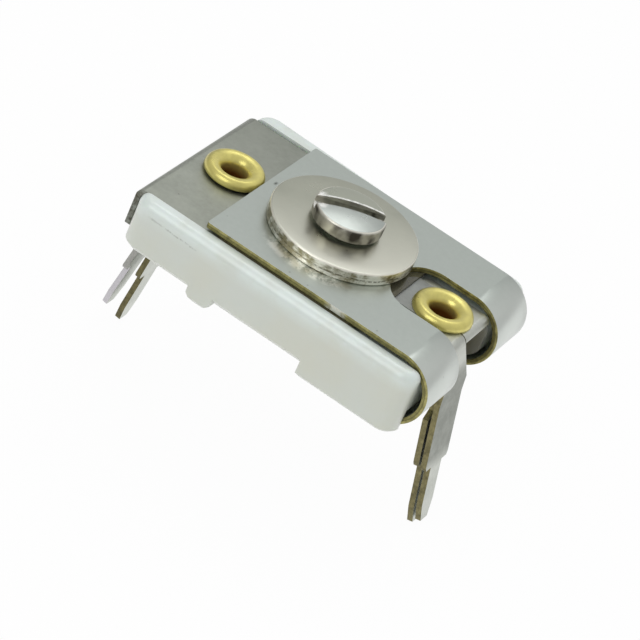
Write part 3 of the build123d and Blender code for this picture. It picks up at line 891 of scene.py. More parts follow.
@made_once
def nickel_plated_screw(add, shader):
    """Plated screw with a polished crown, painted warmer behind the slot as a reflection, and a painted
    highlight on the slot's far edge.
    """
    point = object_point(add, turn_deg=(0, 0, -SLOT_ANGLE_DEG))
    along, across, _ = add("SeparateXYZ", point).node.outputs
    far_y = SLOT_NEAR_Y + sizes().slot_width / MM
    # Painted reflection: the far half of the crown takes a warmer grey
    painted_far_reflection = add("MapRange", across, far_y, far_y + 0.2, 0.0, 0.8)
    # Painted highlight: near white along the burr of the slot's far edge and at the head's left end
    wavy = weighed(add, (across, 1.0), (add("TexNoise", point, 1 / 0.4, 3.0, 0.6), 0.1))
    edge = near(add, wavy, far_y + 0.09, 0.07, 0.04)
    left_end = product(add, near(add, along, -HEAD_R, 0.34, 0.25), near(add, across, 0.1, 0.5, 0.2))
    chipped = add("MapRange", add("TexNoise", point, 1 / 0.25, 4.0, 0.7), 0.35, 0.55, 0.35, 1.0)
    painted_burr_glint = product(add, add("Math", edge, left_end, operation="MAXIMUM"), chipped)
    turned_nickel(add, shader, tuple(colours().screw_nickel), (0.24, 0.34), 0.0008,
                  ((painted_far_reflection, FAR_CROWN_REFLECTION), (painted_burr_glint, SLOT_EDGE_GLINT)),
                  metallic=add("MapRange", painted_burr_glint, 0.0, 1.0, 1.0, 0.2))


def scored_side(add, shader, dark, light, low_z, high_z, patch, scored, seam_share=0.0):
    """Sheared or turned side wall: bright and dark patches of painted reflection over level scores, a seam,
    and a painted highlight along the top edge.
    """
    patches = add("TexNoise", object_point(add, stretch=(1.0, 1.0, 0.6)), 1 / patch, 2.0)
    scores = add("TexNoise", object_point(add, stretch=(1.0, 1.0, 3.5)), 1 / 0.55, 4.0, 0.7)
    ticks = add("TexNoise", object_point(add, stretch=(1.0, 1.0, 0.4)), 1 / 0.17, 3.0, 0.7)
    mixed = weighed(add, (patches, 1.0 - scored), (scores, 0.7 * scored), (ticks, 0.3 * scored))
    x, y, z = add("SeparateXYZ", object_point(add)).node.outputs
    height = add("MapRange", z, low_z, high_z)
    wavy = weighed(add, (height, 1.0), (patches, 0.3))
    seam = product(add, near(add, wavy, 0.57, 0.02, 0.07), add("MapRange", ticks, 0.42, 0.52), seam_share)
    # Painted reflection in the light and dark patches, and a painted highlight along the top edge
    tone = painted(add, dark, (add("MapRange", mixed, 0.44, 0.56), light),
                   (seam, scaled(dark, 0.4)),
                   (add("MapRange", height, 0.84, 0.93, 0.0, 0.85), TOP_EDGE_HIGHLIGHT))
    finish_surface(shader, {
        "Base Color": tone, "Metallic": 1.0, "Roughness": add("MapRange", scores, 0.3, 0.7, 0.28, 0.45),
        "Normal": relief(add, (mixed, 0.05, 0.8)),
    })


@made_once
def scored_washer_side(add, shader):
    """Blanked side of the washer, scored by the die, with painted reflections in silver and golden grey."""
    scored_side(add, shader, WASHER_SIDE_REFLECTION_DARK, WASHER_SIDE_REFLECTION_LIGHT, WASHER_LOW.z, WASHER_HIGH.z,
                patch=0.8, scored=0.5, seam_share=0.8)


@made_once
def shaded_head_side(add, shader):
    """Side of the screw head, painted dark as shade, with broad lighter patches painted as reflections in the
    tool's facets.
    """
    low_z = WASHER_HIGH.z + SEAT_H
    scored_side(add, shader, HEAD_SIDE_SHADE, HEAD_SIDE_FACET_REFLECTION, low_z, low_z + HEAD_SIDE_H + 0.06,
                patch=0.9, scored=0.12)


@made_once
def slot_edge_glint(add, shader):
    """Raised metal along the edges of the driver slot, scraped bright by the driver and painted near white as
    a highlight.
    """
    smeared = add("TexNoise", object_point(add), 1 / 0.2, 3.0)
    finish_surface(shader, {"Base Color": painted(add, SLOT_EDGE_GLINT, (smeared, DIMMER_SLOT_GLINT)),
                            "Metallic": 0.3, "Roughness": 0.4})


@made_once
def split_mica(add, shader):
    """Split phlogopite mica: smoky olive, with cleavage clouds and a glassy face."""
    colour = tuple(colours().mica)
    point = object_point(add)
    x, y, z = add("SeparateXYZ", point).node.outputs
    # Painted shadow: darker in the notch of the spring, under the edge of the washer
    painted_notch_shadow = product(add, add("MapRange", x, 2.6, 3.0), near(add, y, 0.0, 2.0, 0.4), 0.7)
    tone = painted(add, colour, (add("TexNoise", point, 1 / 1.4, 3.0), scaled(colour, 0.8)),
                   (painted_notch_shadow, MICA_NOTCH_SHADOW))
    finish_surface(shader, {
        "Base Color": tone, "Roughness": 0.12, "IOR": 1.58, "Transmission Weight": 0.5,
        "Normal": relief(add, (add("TexNoise", point, 1 / 0.5, 2.0), 0.01, 0.4)),
    })


# Pieces

def finish_sheet(bm):
    """Thickness, then rounded punched edges."""
    thicken_sheet(bm)
    round_edges(bm, sizes().edge_round / MM, 2)


def mark_depth(bm, top_z, low_z):
    """Note on each point of the hairpin how far it is through the sheet, from -1 inside to 1 outside."""
    through = bm.verts.layers.float.new(DEPTH_LAYER)
    middle_z = (top_z + low_z) / 2
    for v in bm.verts:
        if v.co.x > CURL_X:
            outward = math.hypot(v.co.x - CURL_X, v.co.z - middle_z) - (top_z - middle_z)
        elif v.co.z > middle_z:
            outward = v.co.z - top_z
        else:
            outward = low_z - v.co.z
        v[through] = outward / (SHEET_T / 2)


def make_spring_plate():
    """One blank: top leaf, two arms either side of the notch, the curl and the leaf under the base."""
    top_z = SPRING_HIGH.z - SHEET_T / 2
    low_z = SPRING_LOW.z + SHEET_T / 2
    curl_r = (top_z - low_z) / 2
    curl_length = math.pi * curl_r
    half_y = SPRING_HIGH.y

    def lower(x):
        """Blank x of a place on the lower leaf."""
        return CURL_X + curl_length + CURL_X - x

    notch_end = CURL_X + curl_r * (math.pi - math.asin((LOWER_NOTCH_X - CURL_X) / curl_r))
    bm = bmesh.new()
    outline = [
        (SPRING_LOW.x, -half_y), (lower(LEAF_SQUARE_X), -half_y),
        (lower(LEAF_SQUARE_X), -LEAF_HALF_Y), (lower(LEAF_LEFT_X), -LEAF_HALF_Y),
        (lower(LEAF_LEFT_X), LEAF_HALF_Y),
        (lower(LEAF_SQUARE_X), LEAF_HALF_Y), (lower(LEAF_SQUARE_X), half_y), (SPRING_LOW.x, half_y),
    ]
    edges = outline_edges(bm, outline, {0: SPRING_CORNER_R, 7: SPRING_CORNER_R,
                                        3: LEAF_CORNER_R, 4: LEAF_CORNER_R})
    notch = [
        (NOTCH_START_X, -NOTCH_HALF_Y), (notch_end, -NOTCH_HALF_Y),
        (notch_end, NOTCH_HALF_Y), (NOTCH_START_X, NOTCH_HALF_Y),
    ]
    edges += outline_edges(bm, notch, {0: NOTCH_CORNER_R, 3: NOTCH_CORNER_R}, segments=14)
    edges += hole_edges(bm, 0.0, SPRING_HOLE_R)
    edges += hole_edges(bm, lower(0.0), LEAF_HOLE_R)
    edges += hole_edges(bm, lower(EYELET_X), EYELET_HOLE_R)
    fill_blank(bm, edges)
    x_lines = [SPRING_LOW.x + SPRING_CUT_STEP * i for i in range(1, SPRING_CUTS + 1)]
    grid_cuts(bm, x_lines, (-SPRING_CUT_Y, SPRING_CUT_Y))
    fold_blank(bm, [(CURL_X, curl_r, math.pi)], top_z)
    finish_sheet(bm)
    mark_depth(bm, top_z, low_z)
    piece = finish_piece(bm, "spring_sheet", (tinned_spring_sheet(), sheared_brass_edge()), None,
                         ("spring_plate",))
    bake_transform(piece)
    return piece


def blade_side(shoulder_x, tip_x):
    """Half outline of a blade from its shoulder to its tip, along the blank."""
    return [
        (shoulder_x - SHOULDER_H, BLADE_HALF_Y), (shoulder_x, BLADE_HALF_Y - SHOULDER_CUT),
        (shoulder_x, TINE_HALF_Y), (tip_x - TINE_TAPER_H, TINE_HALF_Y), (tip_x, TINE_TIP_HALF_Y),
    ]


def both_sides(side):
    """Closed outline from one side and its mirror image."""
    return [(x, -y) for x, y in side] + [(x, y) for x, y in side[::-1]]


def height_on_run(corners, runs, run, z):
    """Blank x of the point at a height on a run of the middle line."""
    (x0, z0), (x1, z1) = corners[run], corners[run + 1]
    share = (z - z0) / (z1 - z0)
    return runs[run] + share * math.hypot(x1 - x0, z1 - z0)


def tip_corner(knee_x, knee_z, tip_x, tip_z):
    """End of a leg's middle line, with the lowest corner of the sheet's square end at the tip's height."""
    slope = math.hypot(tip_x - knee_x, knee_z - tip_z)
    outward = (knee_z - tip_z) / slope
    upward = (tip_x - knee_x) / slope
    rise = SHEET_T * upward / outward
    return tip_x - SHEET_T / 2 * outward - rise * upward, tip_z + SHEET_T / 2 * upward


def make_left_terminal_top():
    """Fixed plate over the base, full-width flange down the left end and the outer blade."""
    plate_z = LEFT_HIGH.z - SHEET_T / 2
    half_y = LEFT_HIGH.y
    inward = SHEET_T / 2
    corners = [
        (-LEFT_HIGH.x, plate_z), (LEFT_KNEE_X - inward, plate_z), (LEFT_KNEE_X - inward, LEFT_KNEE_Z),
        tip_corner(LEFT_KNEE_X, LEFT_KNEE_Z, -LEFT_LOW.x, LEFT_LOW.z),
    ]
    folds, runs = fold_plan(corners, {0: BEND_MID_R, 1: KNEE_R})
    flange_x = height_on_run(corners, runs, 1, FLANGE_BOTTOM_Z)
    shoulder_x = height_on_run(corners, runs, 2, SHOULDER_Z)
    tip = height_on_run(corners, runs, 2, corners[-1][1])
    side = [(-LEFT_HIGH.x, half_y), (flange_x, half_y), (flange_x, BLADE_HALF_Y)]
    side += blade_side(shoulder_x, tip)
    bm = bmesh.new()
    outline = both_sides(side)
    last = len(outline) - 1
    edges = outline_edges(bm, outline, {0: PLATE_CORNER_R, last: PLATE_CORNER_R,
                                        1: FLANGE_CORNER_R, last - 1: FLANGE_CORNER_R})
    edges += hole_edges(bm, 0.0, PLATE_HOLE_R)
    edges += hole_edges(bm, EYELET_X, EYELET_HOLE_R)
    fill_blank(bm, edges)
    fold_blank(bm, folds, plate_z)
    bmesh.ops.scale(bm, vec=(-1, 1, 1), verts=bm.verts)
    finish_sheet(bm)
    return finish_piece(bm, "left_fixed_plate", (dull_tinned_sheet(), tinned_punched_edge()), "frame",
                        ("left_terminal_top",))


def make_right_terminal_top():
    """Small plate in the notch of the spring, its outer leg bent down at the front corner."""
    plate_z = RIGHT_HIGH.z - SHEET_T / 2
    inward = SHEET_T / 2
    corners = [
        (RIGHT_PLATE_LEFT_X, plate_z), (RIGHT_BEND_X - inward, plate_z),
        (RIGHT_KNEE_X - inward, RIGHT_KNEE_Z),
        tip_corner(RIGHT_KNEE_X, RIGHT_KNEE_Z, RIGHT_HIGH.x, RIGHT_LOW.z),
    ]
    folds, runs = fold_plan(corners, {0: BEND_MID_R, 1: KNEE_R})
    slant_top = height_on_run(corners, runs, 1, RIGHT_HIGH.z - SHEET_T)
    slant_low = height_on_run(corners, runs, 1, SLANT_BOTTOM_Z)
    shoulder_x = height_on_run(corners, runs, 2, SHOULDER_Z)
    tip = height_on_run(corners, runs, 2, corners[-1][1])
    blade = blade_side(shoulder_x, tip)
    relief_x = folds[0][0] - BEND_RELIEF
    outline = [(RIGHT_PLATE_LEFT_X, -RIGHT_PLATE_HALF_Y), (slant_top, -RIGHT_PLATE_HALF_Y)]
    outline += [(slant_low, -BLADE_HALF_Y)] + [(x, -y) for x, y in blade]
    outline += blade[::-1] + [(slant_low, BLADE_HALF_Y), (slant_top, SLANT_REAR_Y)]
    outline += [(relief_x, SLANT_REAR_Y), (relief_x, SLANT_REAR_Y + BEND_RELIEF / 2)]
    outline += [(RIGHT_PLATE_END_X, SLANT_REAR_Y + BEND_RELIEF / 2)]
    outline += [(RIGHT_PLATE_END_X, RIGHT_PLATE_HALF_Y), (RIGHT_PLATE_LEFT_X, RIGHT_PLATE_HALF_Y)]
    bm = bmesh.new()
    last = len(outline) - 1
    edges = outline_edges(bm, outline, {0: PLATE_CORNER_R, last: PLATE_CORNER_R,
                                        last - 1: PLATE_CORNER_R / 2})
    edges += hole_edges(bm, EYELET_X, EYELET_HOLE_R)
    fill_blank(bm, edges)
    fold_blank(bm, folds, plate_z)
    finish_sheet(bm)
    return finish_piece(bm, "right_plate", (half_dipped_tinned_sheet(), olive_brass_edge()), "frame",
                        ("right_terminal_top",))


def make_bottom_terminal(name, node, low, high, side_sign, edge_material):
    """Plate under the base and the inner blade behind the outer one."""
    plate_z = high.z - SHEET_T / 2
    inward = SHEET_T / 2
    corners = [
        (BOTTOM_PLATE_INNER_X, plate_z), (INNER_BEND_X - inward, plate_z),
        (INNER_KNEE_X - inward, INNER_KNEE_Z),
        tip_corner(INNER_KNEE_X, INNER_KNEE_Z, max(-low.x, high.x), low.z),
    ]
    folds, runs = fold_plan(corners, {0: INNER_BEND_MID_R, 1: INNER_KNEE_R})
    neck_low = height_on_run(corners, runs, 2, NECK_BOTTOM_Z)
    blade_top = height_on_run(corners, runs, 2, NECK_BOTTOM_Z - NECK_SLOPE_H)
    shoulder_x = height_on_run(corners, runs, 2, SHOULDER_Z)
    tip = height_on_run(corners, runs, 2, corners[-1][1])
    root_x = folds[0][0] - BEND_RELIEF
    side = [(BOTTOM_PLATE_INNER_X, BOTTOM_PLATE_HALF_Y), (root_x, BOTTOM_PLATE_HALF_Y)]
    side += [(root_x, NECK_HALF_Y), (neck_low, NECK_HALF_Y), (blade_top, BLADE_HALF_Y)]
    side += blade_side(shoulder_x, tip)
    bm = bmesh.new()
    outline = both_sides(side)
    last = len(outline) - 1
    edges = outline_edges(bm, outline, {0: PLATE_CORNER_R, last: PLATE_CORNER_R,
                                        1: PLATE_CORNER_R, last - 1: PLATE_CORNER_R})
    edges += hole_edges(bm, EYELET_X, EYELET_HOLE_R)
    fill_blank(bm, edges)
    fold_blank(bm, folds, plate_z)
    bmesh.ops.scale(bm, vec=(side_sign, 1, 1), verts=bm.verts)
    finish_sheet(bm)
    return finish_piece(bm, name, (bright_tinned_sheet(), edge_material), "frame", (node,))


def rolled_rim(crest_r, rim_r, seat_z, height, throat, start):
    """Rim outline: steep outside the crest, running down into the bore inside it."""
    points = []
    for i in range(ROLL_POINTS + 1):
        angle = start + math.pi * i / ROLL_POINTS
        side = math.cos(angle)
        width = rim_r - crest_r if side > 0 else crest_r - EYELET_BORE_R
        drop = throat * min(side, 0) ** 2
        points.append((crest_r + width * side, seat_z + height * math.sin(angle) - drop))
    return points


def make_eyelet(name, node, low, high, x):
    """Brass eyelet turned from its own outline: tube, crowned rolled rim and rolled foot."""
    seat_z = high.z - EYELET_ROLL_H
    foot_z = low.z + EYELET_FOOT_H
    outline = [(EYELET_TUBE_R, seat_z)]
    outline += rolled_rim(EYELET_CREST_R, EYELET_FLANGE_R, seat_z, EYELET_ROLL_H, EYELET_THROAT, 0)
    outline += rolled_rim(EYELET_FOOT_CREST_R, EYELET_FOOT_R, foot_z, EYELET_FOOT_H, 0, math.pi)
    outline.append((EYELET_TUBE_R, foot_z))
    bm = bmesh.new()
    turned_shape(bm, outline, EYELET_STEPS, x=x, closed=True)
    return finish_piece(bm, name, (rolled_brass_eyelet(),), "frame", (node,))


def make_washer():
    """Thick pressure washer with rolled-over top edge."""
    radius = WASHER_HIGH.x
    top_z, bottom_z = WASHER_HIGH.z, WASHER_LOW.z
    edge = WASHER_EDGE_R
    outline = [(WASHER_BORE_R, bottom_z + edge), (WASHER_BORE_R, top_z - edge)]
    outline += arc_points((WASHER_BORE_R + edge, top_z - edge), edge, 180, 90, 4)[1:]
    # Rings between the bore and the rim, so that the flat faces shade evenly
    outline += [(radius * 0.5, top_z), (radius * 0.8, top_z)]
    outline += arc_points((radius - edge, top_z - edge), edge, 90, 0, 6)
    outline += arc_points((radius - edge, bottom_z + edge), edge, 0, -90, 4)
    outline += [(radius * 0.5, bottom_z)]
    outline += arc_points((WASHER_BORE_R + edge, bottom_z + edge), edge, 270, 180, 4)[:-1]
    bm = bmesh.new()
    turned_shape(bm, outline, WASHER_STEPS, closed=True)
    for face in bm.faces:
        if face.calc_center_median().xy.length > radius - edge / 2:
            face.material_index = 1
    materials = (nickel_plated_washer(), scored_washer_side())
    return finish_piece(bm, "pressure_washer_disc", materials, "pressure_washer",
                        ("washer",))


def cut_slot(bm, floor_z, width):
    """Open the driver slot across the head, its floor level and its walls upright."""
    near_y, far_y = SLOT_NEAR_Y, SLOT_NEAR_Y + width
    for y in (near_y, far_y):
        cut_at(bm, (0, y, 0), (0, 1, 0), PLACE_TOLERANCE)
    cut_at(bm, (0, 0, floor_z), (0, 0, 1), PLACE_TOLERANCE)
    inside = [f for f in bm.faces if near_y < f.calc_center_median().y < far_y
              and f.calc_center_median().z > floor_z]
    bmesh.ops.delete(bm, geom=inside, context="FACES")
    floor_rim = [e for e in bm.edges if len(e.link_faces) == 1
                 and all(abs(v.co.z - floor_z) < MERGE_DISTANCE for v in e.verts)]
    for y in (near_y, far_y):
        rim = [e for e in bm.edges if len(e.link_faces) == 1
               and all(abs(v.co.y - y) < MERGE_DISTANCE for v in e.verts)]
        rim_verts = {v for e in rim for v in e.verts}
        ends = [v for v in rim_verts if abs(v.co.z - floor_z) < MERGE_DISTANCE]
        foot = bm.edges.new(sorted(ends, key=lambda v: v.co.x))
        floor_rim.append(foot)
        bmesh.ops.triangle_fill(bm, use_beauty=True, use_dissolve=True, edges=rim + [foot],
                                normal=(0, 1, 0))
    bmesh.ops.triangle_fill(bm, use_beauty=True, use_dissolve=True, edges=floor_rim, normal=(0, 0, 1))
    bmesh.ops.recalc_face_normals(bm, faces=bm.faces)


def spin_thread(bm, tooth, turns):
    """Wind a tooth outline of (radius, z) points up into a screw thread."""
    face = bm.faces.new([bm.verts.new((r, 0, z)) for r, z in tooth])
    bmesh.ops.spin(
        bm, geom=[face], cent=(0, 0, 0), axis=(0, 0, 1), dvec=(0, 0, THREAD_PITCH / THREAD_STEPS),
        angle=2 * math.pi * turns, space=Matrix.Identity(4), steps=round(THREAD_STEPS * turns),
        use_merge=False, use_normal_flip=False, use_duplicate=False)


def threaded_shank(seat_z):
    """Screw shank below its seat, with the thread running out under the head."""
    low_z = SCREW_LOW.z
    outline = [
        (0.0, low_z), (SHANK_ROOT_R - SHANK_CHAMFER, low_z), (SHANK_ROOT_R, low_z + SHANK_CHAMFER),
        (SHANK_ROOT_R, seat_z - RUN_OUT_BOTTOM_H), (SHANK_CREST_R, seat_z - RUN_OUT_TOP_H),
        (SHANK_CREST_R, seat_z + SHANK_OVERLAP),
    ]
    bm = bmesh.new()
    turned_shape(bm, outline, SHANK_STEPS)
    start_z = low_z + THREAD_PITCH * THREAD_START
    turns = (seat_z - THREAD_TOP_H - low_z) / THREAD_PITCH - THREAD_SHORT
    sunk_r = SHANK_ROOT_R - (SHANK_CREST_R - SHANK_ROOT_R) * THREAD_SUNK
    half_root = THREAD_PITCH * THREAD_ROOT
    half_crest = THREAD_PITCH * THREAD_CREST
    spin_thread(bm, (
        (sunk_r, start_z - half_root), (SHANK_CREST_R, start_z - half_crest),
        (SHANK_CREST_R, start_z + half_crest), (sunk_r, start_z + half_root)), turns)
    bmesh.ops.recalc_face_normals(bm, faces=bm.faces)
    mesh = bpy.data.meshes.new("shank")
    bm.to_mesh(mesh)
    bm.free()
    return mesh


def make_screw():
    """Adjusting screw: crowned slotted head, relieved neck and threaded shank."""
    seat_z = WASHER_HIGH.z
    bottom_z = seat_z + SEAT_H
    side_top_z = bottom_z + HEAD_SIDE_H
    crown_z = SCREW_HIGH.z
    crown_h = crown_z - side_top_z
    dome_r = (HEAD_R ** 2 + crown_h ** 2) / (2 * crown_h)
    edge = HEAD_EDGE_R
    outline = [(0.0, seat_z), (SEAT_R, seat_z), (SEAT_R, bottom_z), (HEAD_R - edge, bottom_z)]
    outline += arc_points((HEAD_R - edge, bottom_z + edge), edge, -90, 0, 4)[1:]
    outline += [(HEAD_R, bottom_z + HEAD_SIDE_H / 2)]
    start = HEAD_R - edge
    rim_z = crown_z - dome_r + math.sqrt(dome_r ** 2 - start ** 2)
    outline += arc_points((start, rim_z - edge), edge, 0, 84, 5)
    for i in range(1, CROWN_RINGS + 1):
        r = start * (1 - i / CROWN_RINGS)
        outline.append((r, crown_z - dome_r + math.sqrt(dome_r ** 2 - r ** 2)))
    bm = bmesh.new()
    turned_shape(bm, outline, HEAD_STEPS)
    slot_width = sizes().slot_width / MM
    cut_slot(bm, crown_z - SLOT_DEPTH, slot_width)
    lowest_z = crown_z - SLOT_DEPTH - SLOT_MARGIN
    slot_edges = [e for e in sharp_edges(bm, SLOT_EDGE_DEG) if all(v.co.z > lowest_z for v in e.verts)]
    for face in bm.faces:
        middle = face.calc_center_median()
        on_side = middle.xy.length > HEAD_R - edge / 2 and middle.z > bottom_z
        on_wall = abs(face.normal.y) > WALL_FACING and abs(middle.y) < slot_width
        face.material_index = 1 if on_side or on_wall else 0
    # The edges of the slot are rubbed round and take the third material
    bmesh.ops.bevel(
        bm, geom=slot_edges, offset=SLOT_WEAR, offset_type="OFFSET", segments=2, profile=0.5,
        affect="EDGES", clamp_overlap=True, material=2)
    turn = Matrix.Rotation(math.radians(SLOT_ANGLE_DEG), 3, "Z")
    bmesh.ops.rotate(bm, cent=(0, 0, 0), matrix=turn, verts=bm.verts)
    shank = threaded_shank(seat_z)
    bm.from_mesh(shank)
    bpy.data.meshes.remove(shank)
    materials = (nickel_plated_screw(), shaded_head_side(), slot_edge_glint())
    return finish_piece(bm, "slotted_screw", materials, "screw", ("adjusting_screw",))


def make_insert():
    """Square brass nut with a chamfered, threaded bore."""
    bm = cad_copy("threaded_insert")
    round_edges(bm, INSERT_ROUND, 2)
    turns = (INSERT_HIGH.z - INSERT_LOW.z) / THREAD_PITCH - INSERT_THREAD_SHORT
    start_z = INSERT_LOW.z + THREAD_PITCH * INSERT_THREAD_START
    half_root = THREAD_PITCH * INSERT_THREAD_ROOT
    root_r = INSERT_BORE_R + INSERT_THREAD_DEPTH * INSERT_THREAD_SUNK
    crest_r = INSERT_BORE_R - INSERT_THREAD_CREST
    spin_thread(bm, (
        (root_r, start_z - half_root), (crest_r, start_z - INSERT_THREAD_CREST),
        (crest_r, start_z + INSERT_THREAD_CREST), (root_r, start_z + half_root)), turns)
    bmesh.ops.recalc_face_normals(bm, faces=bm.faces)
    return finish_piece(bm, "brass_insert", (rolled_brass_eyelet(),), "frame",
                        ("threaded_insert",))


def make_base():
    """Ceramic base with its moulded edges softened as the glaze leaves them."""
    bm = cad_copy("base")
    round_edges(bm, BASE_ROUND, 3, degrees=BASE_ROUND_FROM_DEG)
    return finish_piece(bm, "ceramic_base", (glazed_steatite(),), "frame", ("base",))


def dress_stack():
    """Finish the films and foils, which keep their CAD shapes."""
    films = ("mica_film_lower", "mica_film_middle", "mica_film_upper")
    foils = ("moving_foil", "fixed_foil")
    for nodes, finish in ((films, split_mica()), (foils, aged_foil())):
        for node in nodes:
            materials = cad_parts[node].data.materials
            materials.clear()
            materials.append(finish)


# Stage

def stage_floor():
    """Plain white floor that keeps a faint shadow."""
    material = bpy.data.materials.new("stage_floor")
    material.use_nodes = True
    tree = material.node_tree
    add = partial(add_node, tree)
    shader = tree.nodes["Principled BSDF"]
    finish_surface(shader, {"Base Color": (FLOOR_GREY,) * 3, "Roughness": 1.0, "Specular IOR Level": 0.0})
    rays = add("LightPath").node.outputs
    seen = add("Math", rays["Is Camera Ray"], rays["Is Transmission Ray"], operation="MAXIMUM")
    seen = add("Math", seen, rays["Is Glossy Ray"], operation="MAXIMUM")
    glow = add("Emission", (1, 1, 1), 1.0)
    mixed = add("MixShader", product(add, seen, FLOOR_GLOW), shader.outputs["BSDF"], glow)
    fill_socket(tree.nodes["Material Output"].inputs["Surface"], mixed)
    return material


def make_floor():
    """Wide plain floor under the tine tips."""
    bm = bmesh.new()
    bmesh.ops.create_grid(bm, x_segments=1, y_segments=1, size=FLOOR_SIZE)
    floor_z = min(LEFT_INNER_LOW.z, RIGHT_INNER_LOW.z) - sizes().floor_gap / MM
    bmesh.ops.translate(bm, vec=(0, 0, floor_z), verts=bm.verts)
    bmesh.ops.scale(bm, vec=(MM, MM, MM), verts=bm.verts)
    mesh = bpy.data.meshes.new("floor")
    bm.to_mesh(mesh)
    bm.free()
    mesh.materials.append(stage_floor())
    floor = bpy.data.objects.new("floor", mesh)
    bpy.context.scene.collection.objects.link(floor)


def set_greys(ramp, stops):
    """Give a colour ramp its stops of (place, grey)."""
    elements = ramp.color_ramp.elements
    while len(elements) < len(stops):
        elements.new(0.5)
    for element, (place, grey) in zip(elements, stops):
        element.position = place
        element.color = (grey, grey, grey, 1)


def make_world():
    """Soft studio surround: bright overhead and behind, darker in front, and white to the camera."""
    world = bpy.data.worlds.new("studio")
    bpy.context.scene.world = world
    world.use_nodes = True
    tree = world.node_tree
    add = partial(add_node, tree)
    surround = tree.nodes["Background"]
    x, y, z = add("SeparateXYZ", add("TexCoord").node.outputs["Generated"]).node.outputs
    sky = add("ValToRGB", add("Math", z, 0.5, 0.5, operation="MULTIPLY_ADD"))
    set_greys(sky.node, ((0.0, 0.6), (0.5, 0.58), (0.7, 0.72), (1.0, 0.92)))
    rearward = weighed(add, (y, 0.5), (x, 0.4))
    depth = add("ValToRGB", add("Math", rearward, 0.5, operation="ADD"))
    set_greys(depth.node, ((0.0, 0.6), (0.35, 0.66), (0.7, 0.86), (1.0, 0.96)))
    grey = add("Mix", 1.0, sky, depth, data_type="RGBA", blend_type="MULTIPLY")
    finish_surface(surround, {"Color": grey, "Strength": 1.0})
    rays = add("LightPath").node.outputs
    seen = add("Math", rays["Is Camera Ray"], rays["Is Transmission Ray"], operation="MAXIMUM")
    white = add("Background", (1, 1, 1), 1.0)
    mixed = add("MixShader", seen, surround.outputs["Background"], white)
    fill_socket(tree.nodes["World Output"].inputs["Surface"], mixed)


def add_lamp(name, at, size, watts):
    """Square softbox aimed at the part, placed in millimetres."""
    light = bpy.data.lights.new(name, "AREA")
    light.shape = "RECTANGLE"
    light.size, light.size_y = (s * MM for s in size)
    light.energy = watts
    lamp = bpy.data.objects.new(name, light)
    bpy.context.scene.collection.objects.link(lamp)
    place = Vector(at) * MM
    lamp.location = place
    lamp.rotation_euler = (place - Vector(LAMP_AIM) * MM).to_track_quat("Z", "Y").to_euler()


def make_camera():
    """Camera of the photograph, rolled as the part lies there."""
    azimuth, elevation, roll = (
        math.radians(a) for a in (CAMERA_AZIMUTH, CAMERA_ELEVATION, CAMERA_ROLL))
    back = Vector((math.sin(azimuth) * math.cos(elevation), -math.cos(azimuth) * math.cos(elevation),
                   math.sin(elevation)))
    level = Vector((math.cos(azimuth), math.sin(azimuth), 0))
    upward = back.cross(level)
    right = math.cos(roll) * level - math.sin(roll) * upward
    up = math.sin(roll) * level + math.cos(roll) * upward
    data = bpy.data.cameras.new("photo_camera")
    data.sensor_width = SENSOR_MM
    data.lens = CAMERA_FOCAL_PX / PICTURE_PX * SENSOR_MM
    data.clip_start, data.clip_end = CAMERA_CLIP_M
    camera = bpy.data.objects.new("photo_camera", data)
    bpy.context.scene.collection.objects.link(camera)
    place = Matrix((right, up, back)).transposed().to_4x4()
    place.translation = Vector(CAMERA_AT) * MM
    camera.matrix_world = place
    bpy.context.scene.camera = camera


# Add-on

class PieceOperator:
    """Common settings of the operators that make pieces."""

    bl_options = {"REGISTER", "UNDO"}


class TRIMMER_OT_stage(PieceOperator, bpy.types.Operator):
    """Make the floor, the soft light and the photograph's camera"""

    bl_idname = "trimmer.stage"
    bl_label = "Stage"

    def execute(self, context):
        context.scene.view_settings.view_transform = "Standard"
        make_world()
        make_floor()
        add_lamp("overhead_softbox", OVERHEAD_AT, OVERHEAD_SIZE, OVERHEAD_WATTS)
        add_lamp("front_softbox", FRONT_AT, FRONT_SIZE, FRONT_WATTS)
        make_camera()
        return {"FINISHED"}


class TRIMMER_OT_base(PieceOperator, bpy.types.Operator):
    """Make the glazed ceramic base"""

    bl_idname = "trimmer.base"
    bl_label = "Ceramic base"

    def execute(self, context):
        make_base()
        return {"FINISHED"}


class TRIMMER_OT_spring(PieceOperator, bpy.types.Operator):
    """Make the spring sheet with its notch, arms and curl"""

    bl_idname = "trimmer.spring"
    bl_label = "Spring sheet"

    def execute(self, context):
        make_spring_plate()
        return {"FINISHED"}


class TRIMMER_OT_terminals(PieceOperator, bpy.types.Operator):
    """Make the four tinned terminal pieces"""

    bl_idname = "trimmer.terminals"
    bl_label = "Terminals"

    def execute(self, context):
        make_left_terminal_top()
        make_right_terminal_top()
        make_bottom_terminal("left_inner_blade", "left_terminal_bottom", LEFT_INNER_LOW,
                             LEFT_INNER_HIGH, -1, browned_brass_edge())
        make_bottom_terminal("right_inner_blade", "right_terminal_bottom", RIGHT_INNER_LOW,
                             RIGHT_INNER_HIGH, 1, olive_brass_edge())
        return {"FINISHED"}


class TRIMMER_OT_eyelets(PieceOperator, bpy.types.Operator):
    """Make the two rolled brass eyelets"""

    bl_idname = "trimmer.eyelets"
    bl_label = "Eyelets"

    def execute(self, context):
        make_eyelet("left_brass_eyelet", "left_eyelet", LEFT_EYELET_LOW, LEFT_EYELET_HIGH, -EYELET_X)
        make_eyelet("right_brass_eyelet", "right_eyelet", RIGHT_EYELET_LOW, RIGHT_EYELET_HIGH, EYELET_X)
        return {"FINISHED"}


class TRIMMER_OT_stack(PieceOperator, bpy.types.Operator):
    """Finish the mica films and foils between the plates"""

    bl_idname = "trimmer.stack"
    bl_label = "Films and foils"

    def execute(self, context):
        dress_stack()
        return {"FINISHED"}


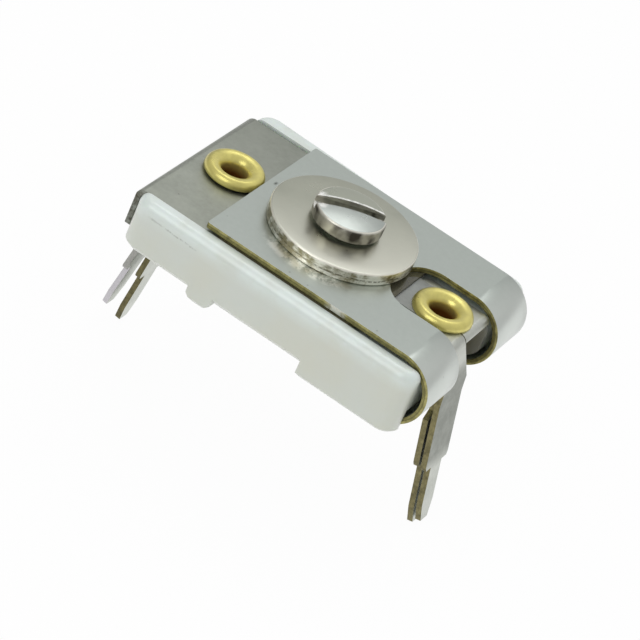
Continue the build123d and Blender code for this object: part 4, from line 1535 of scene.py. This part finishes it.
class TRIMMER_OT_washer(PieceOperator, bpy.types.Operator):
    """Make the pressure washer"""

    bl_idname = "trimmer.washer"
    bl_label = "Washer"

    def execute(self, context):
        make_washer()
        return {"FINISHED"}


class TRIMMER_OT_screw(PieceOperator, bpy.types.Operator):
    """Make the adjusting screw and its insert"""

    bl_idname = "trimmer.screw"
    bl_label = "Screw and insert"

    def execute(self, context):
        make_screw()
        make_insert()
        return {"FINISHED"}


class TRIMMER_PT_panel(bpy.types.Panel):
    """Sidebar panel with the sizes, the colours and a button for each group of pieces"""

    bl_idname = "TRIMMER_PT_panel"
    bl_label = "Trimmer capacitor"
    bl_space_type = "VIEW_3D"
    bl_region_type = "UI"
    bl_category = "Trimmer"

    def draw(self, context):
        layout = self.layout
        for group in (context.scene.trimmer_sizes, context.scene.trimmer_colours):
            for name in group.__annotations__:
                layout.prop(group, name)
        for operator in PIECE_OPERATORS:
            layout.operator(operator.bl_idname)


PIECE_OPERATORS = (
    TRIMMER_OT_stage, TRIMMER_OT_base, TRIMMER_OT_spring, TRIMMER_OT_terminals, TRIMMER_OT_eyelets,
    TRIMMER_OT_stack, TRIMMER_OT_washer, TRIMMER_OT_screw,
)
CLASSES = (TrimmerSizes, TrimmerColours) + PIECE_OPERATORS + (TRIMMER_PT_panel,)


def register():
    """Add the panel, its settings and its operators to Blender."""
    for cls in CLASSES:
        bpy.utils.register_class(cls)
    bpy.types.Scene.trimmer_sizes = bpy.props.PointerProperty(type=TrimmerSizes)
    bpy.types.Scene.trimmer_colours = bpy.props.PointerProperty(type=TrimmerColours)


def unregister():
    """Take them out again."""
    del bpy.types.Scene.trimmer_colours
    del bpy.types.Scene.trimmer_sizes
    for cls in reversed(CLASSES):
        bpy.utils.unregister_class(cls)


def main():
    """Make every piece."""
    register()
    bpy.ops.trimmer.stage()
    bpy.ops.trimmer.base()
    bpy.ops.trimmer.spring()
    bpy.ops.trimmer.terminals()
    bpy.ops.trimmer.eyelets()
    bpy.ops.trimmer.stack()
    bpy.ops.trimmer.washer()
    bpy.ops.trimmer.screw()


if __name__ == "__main__":
    main()
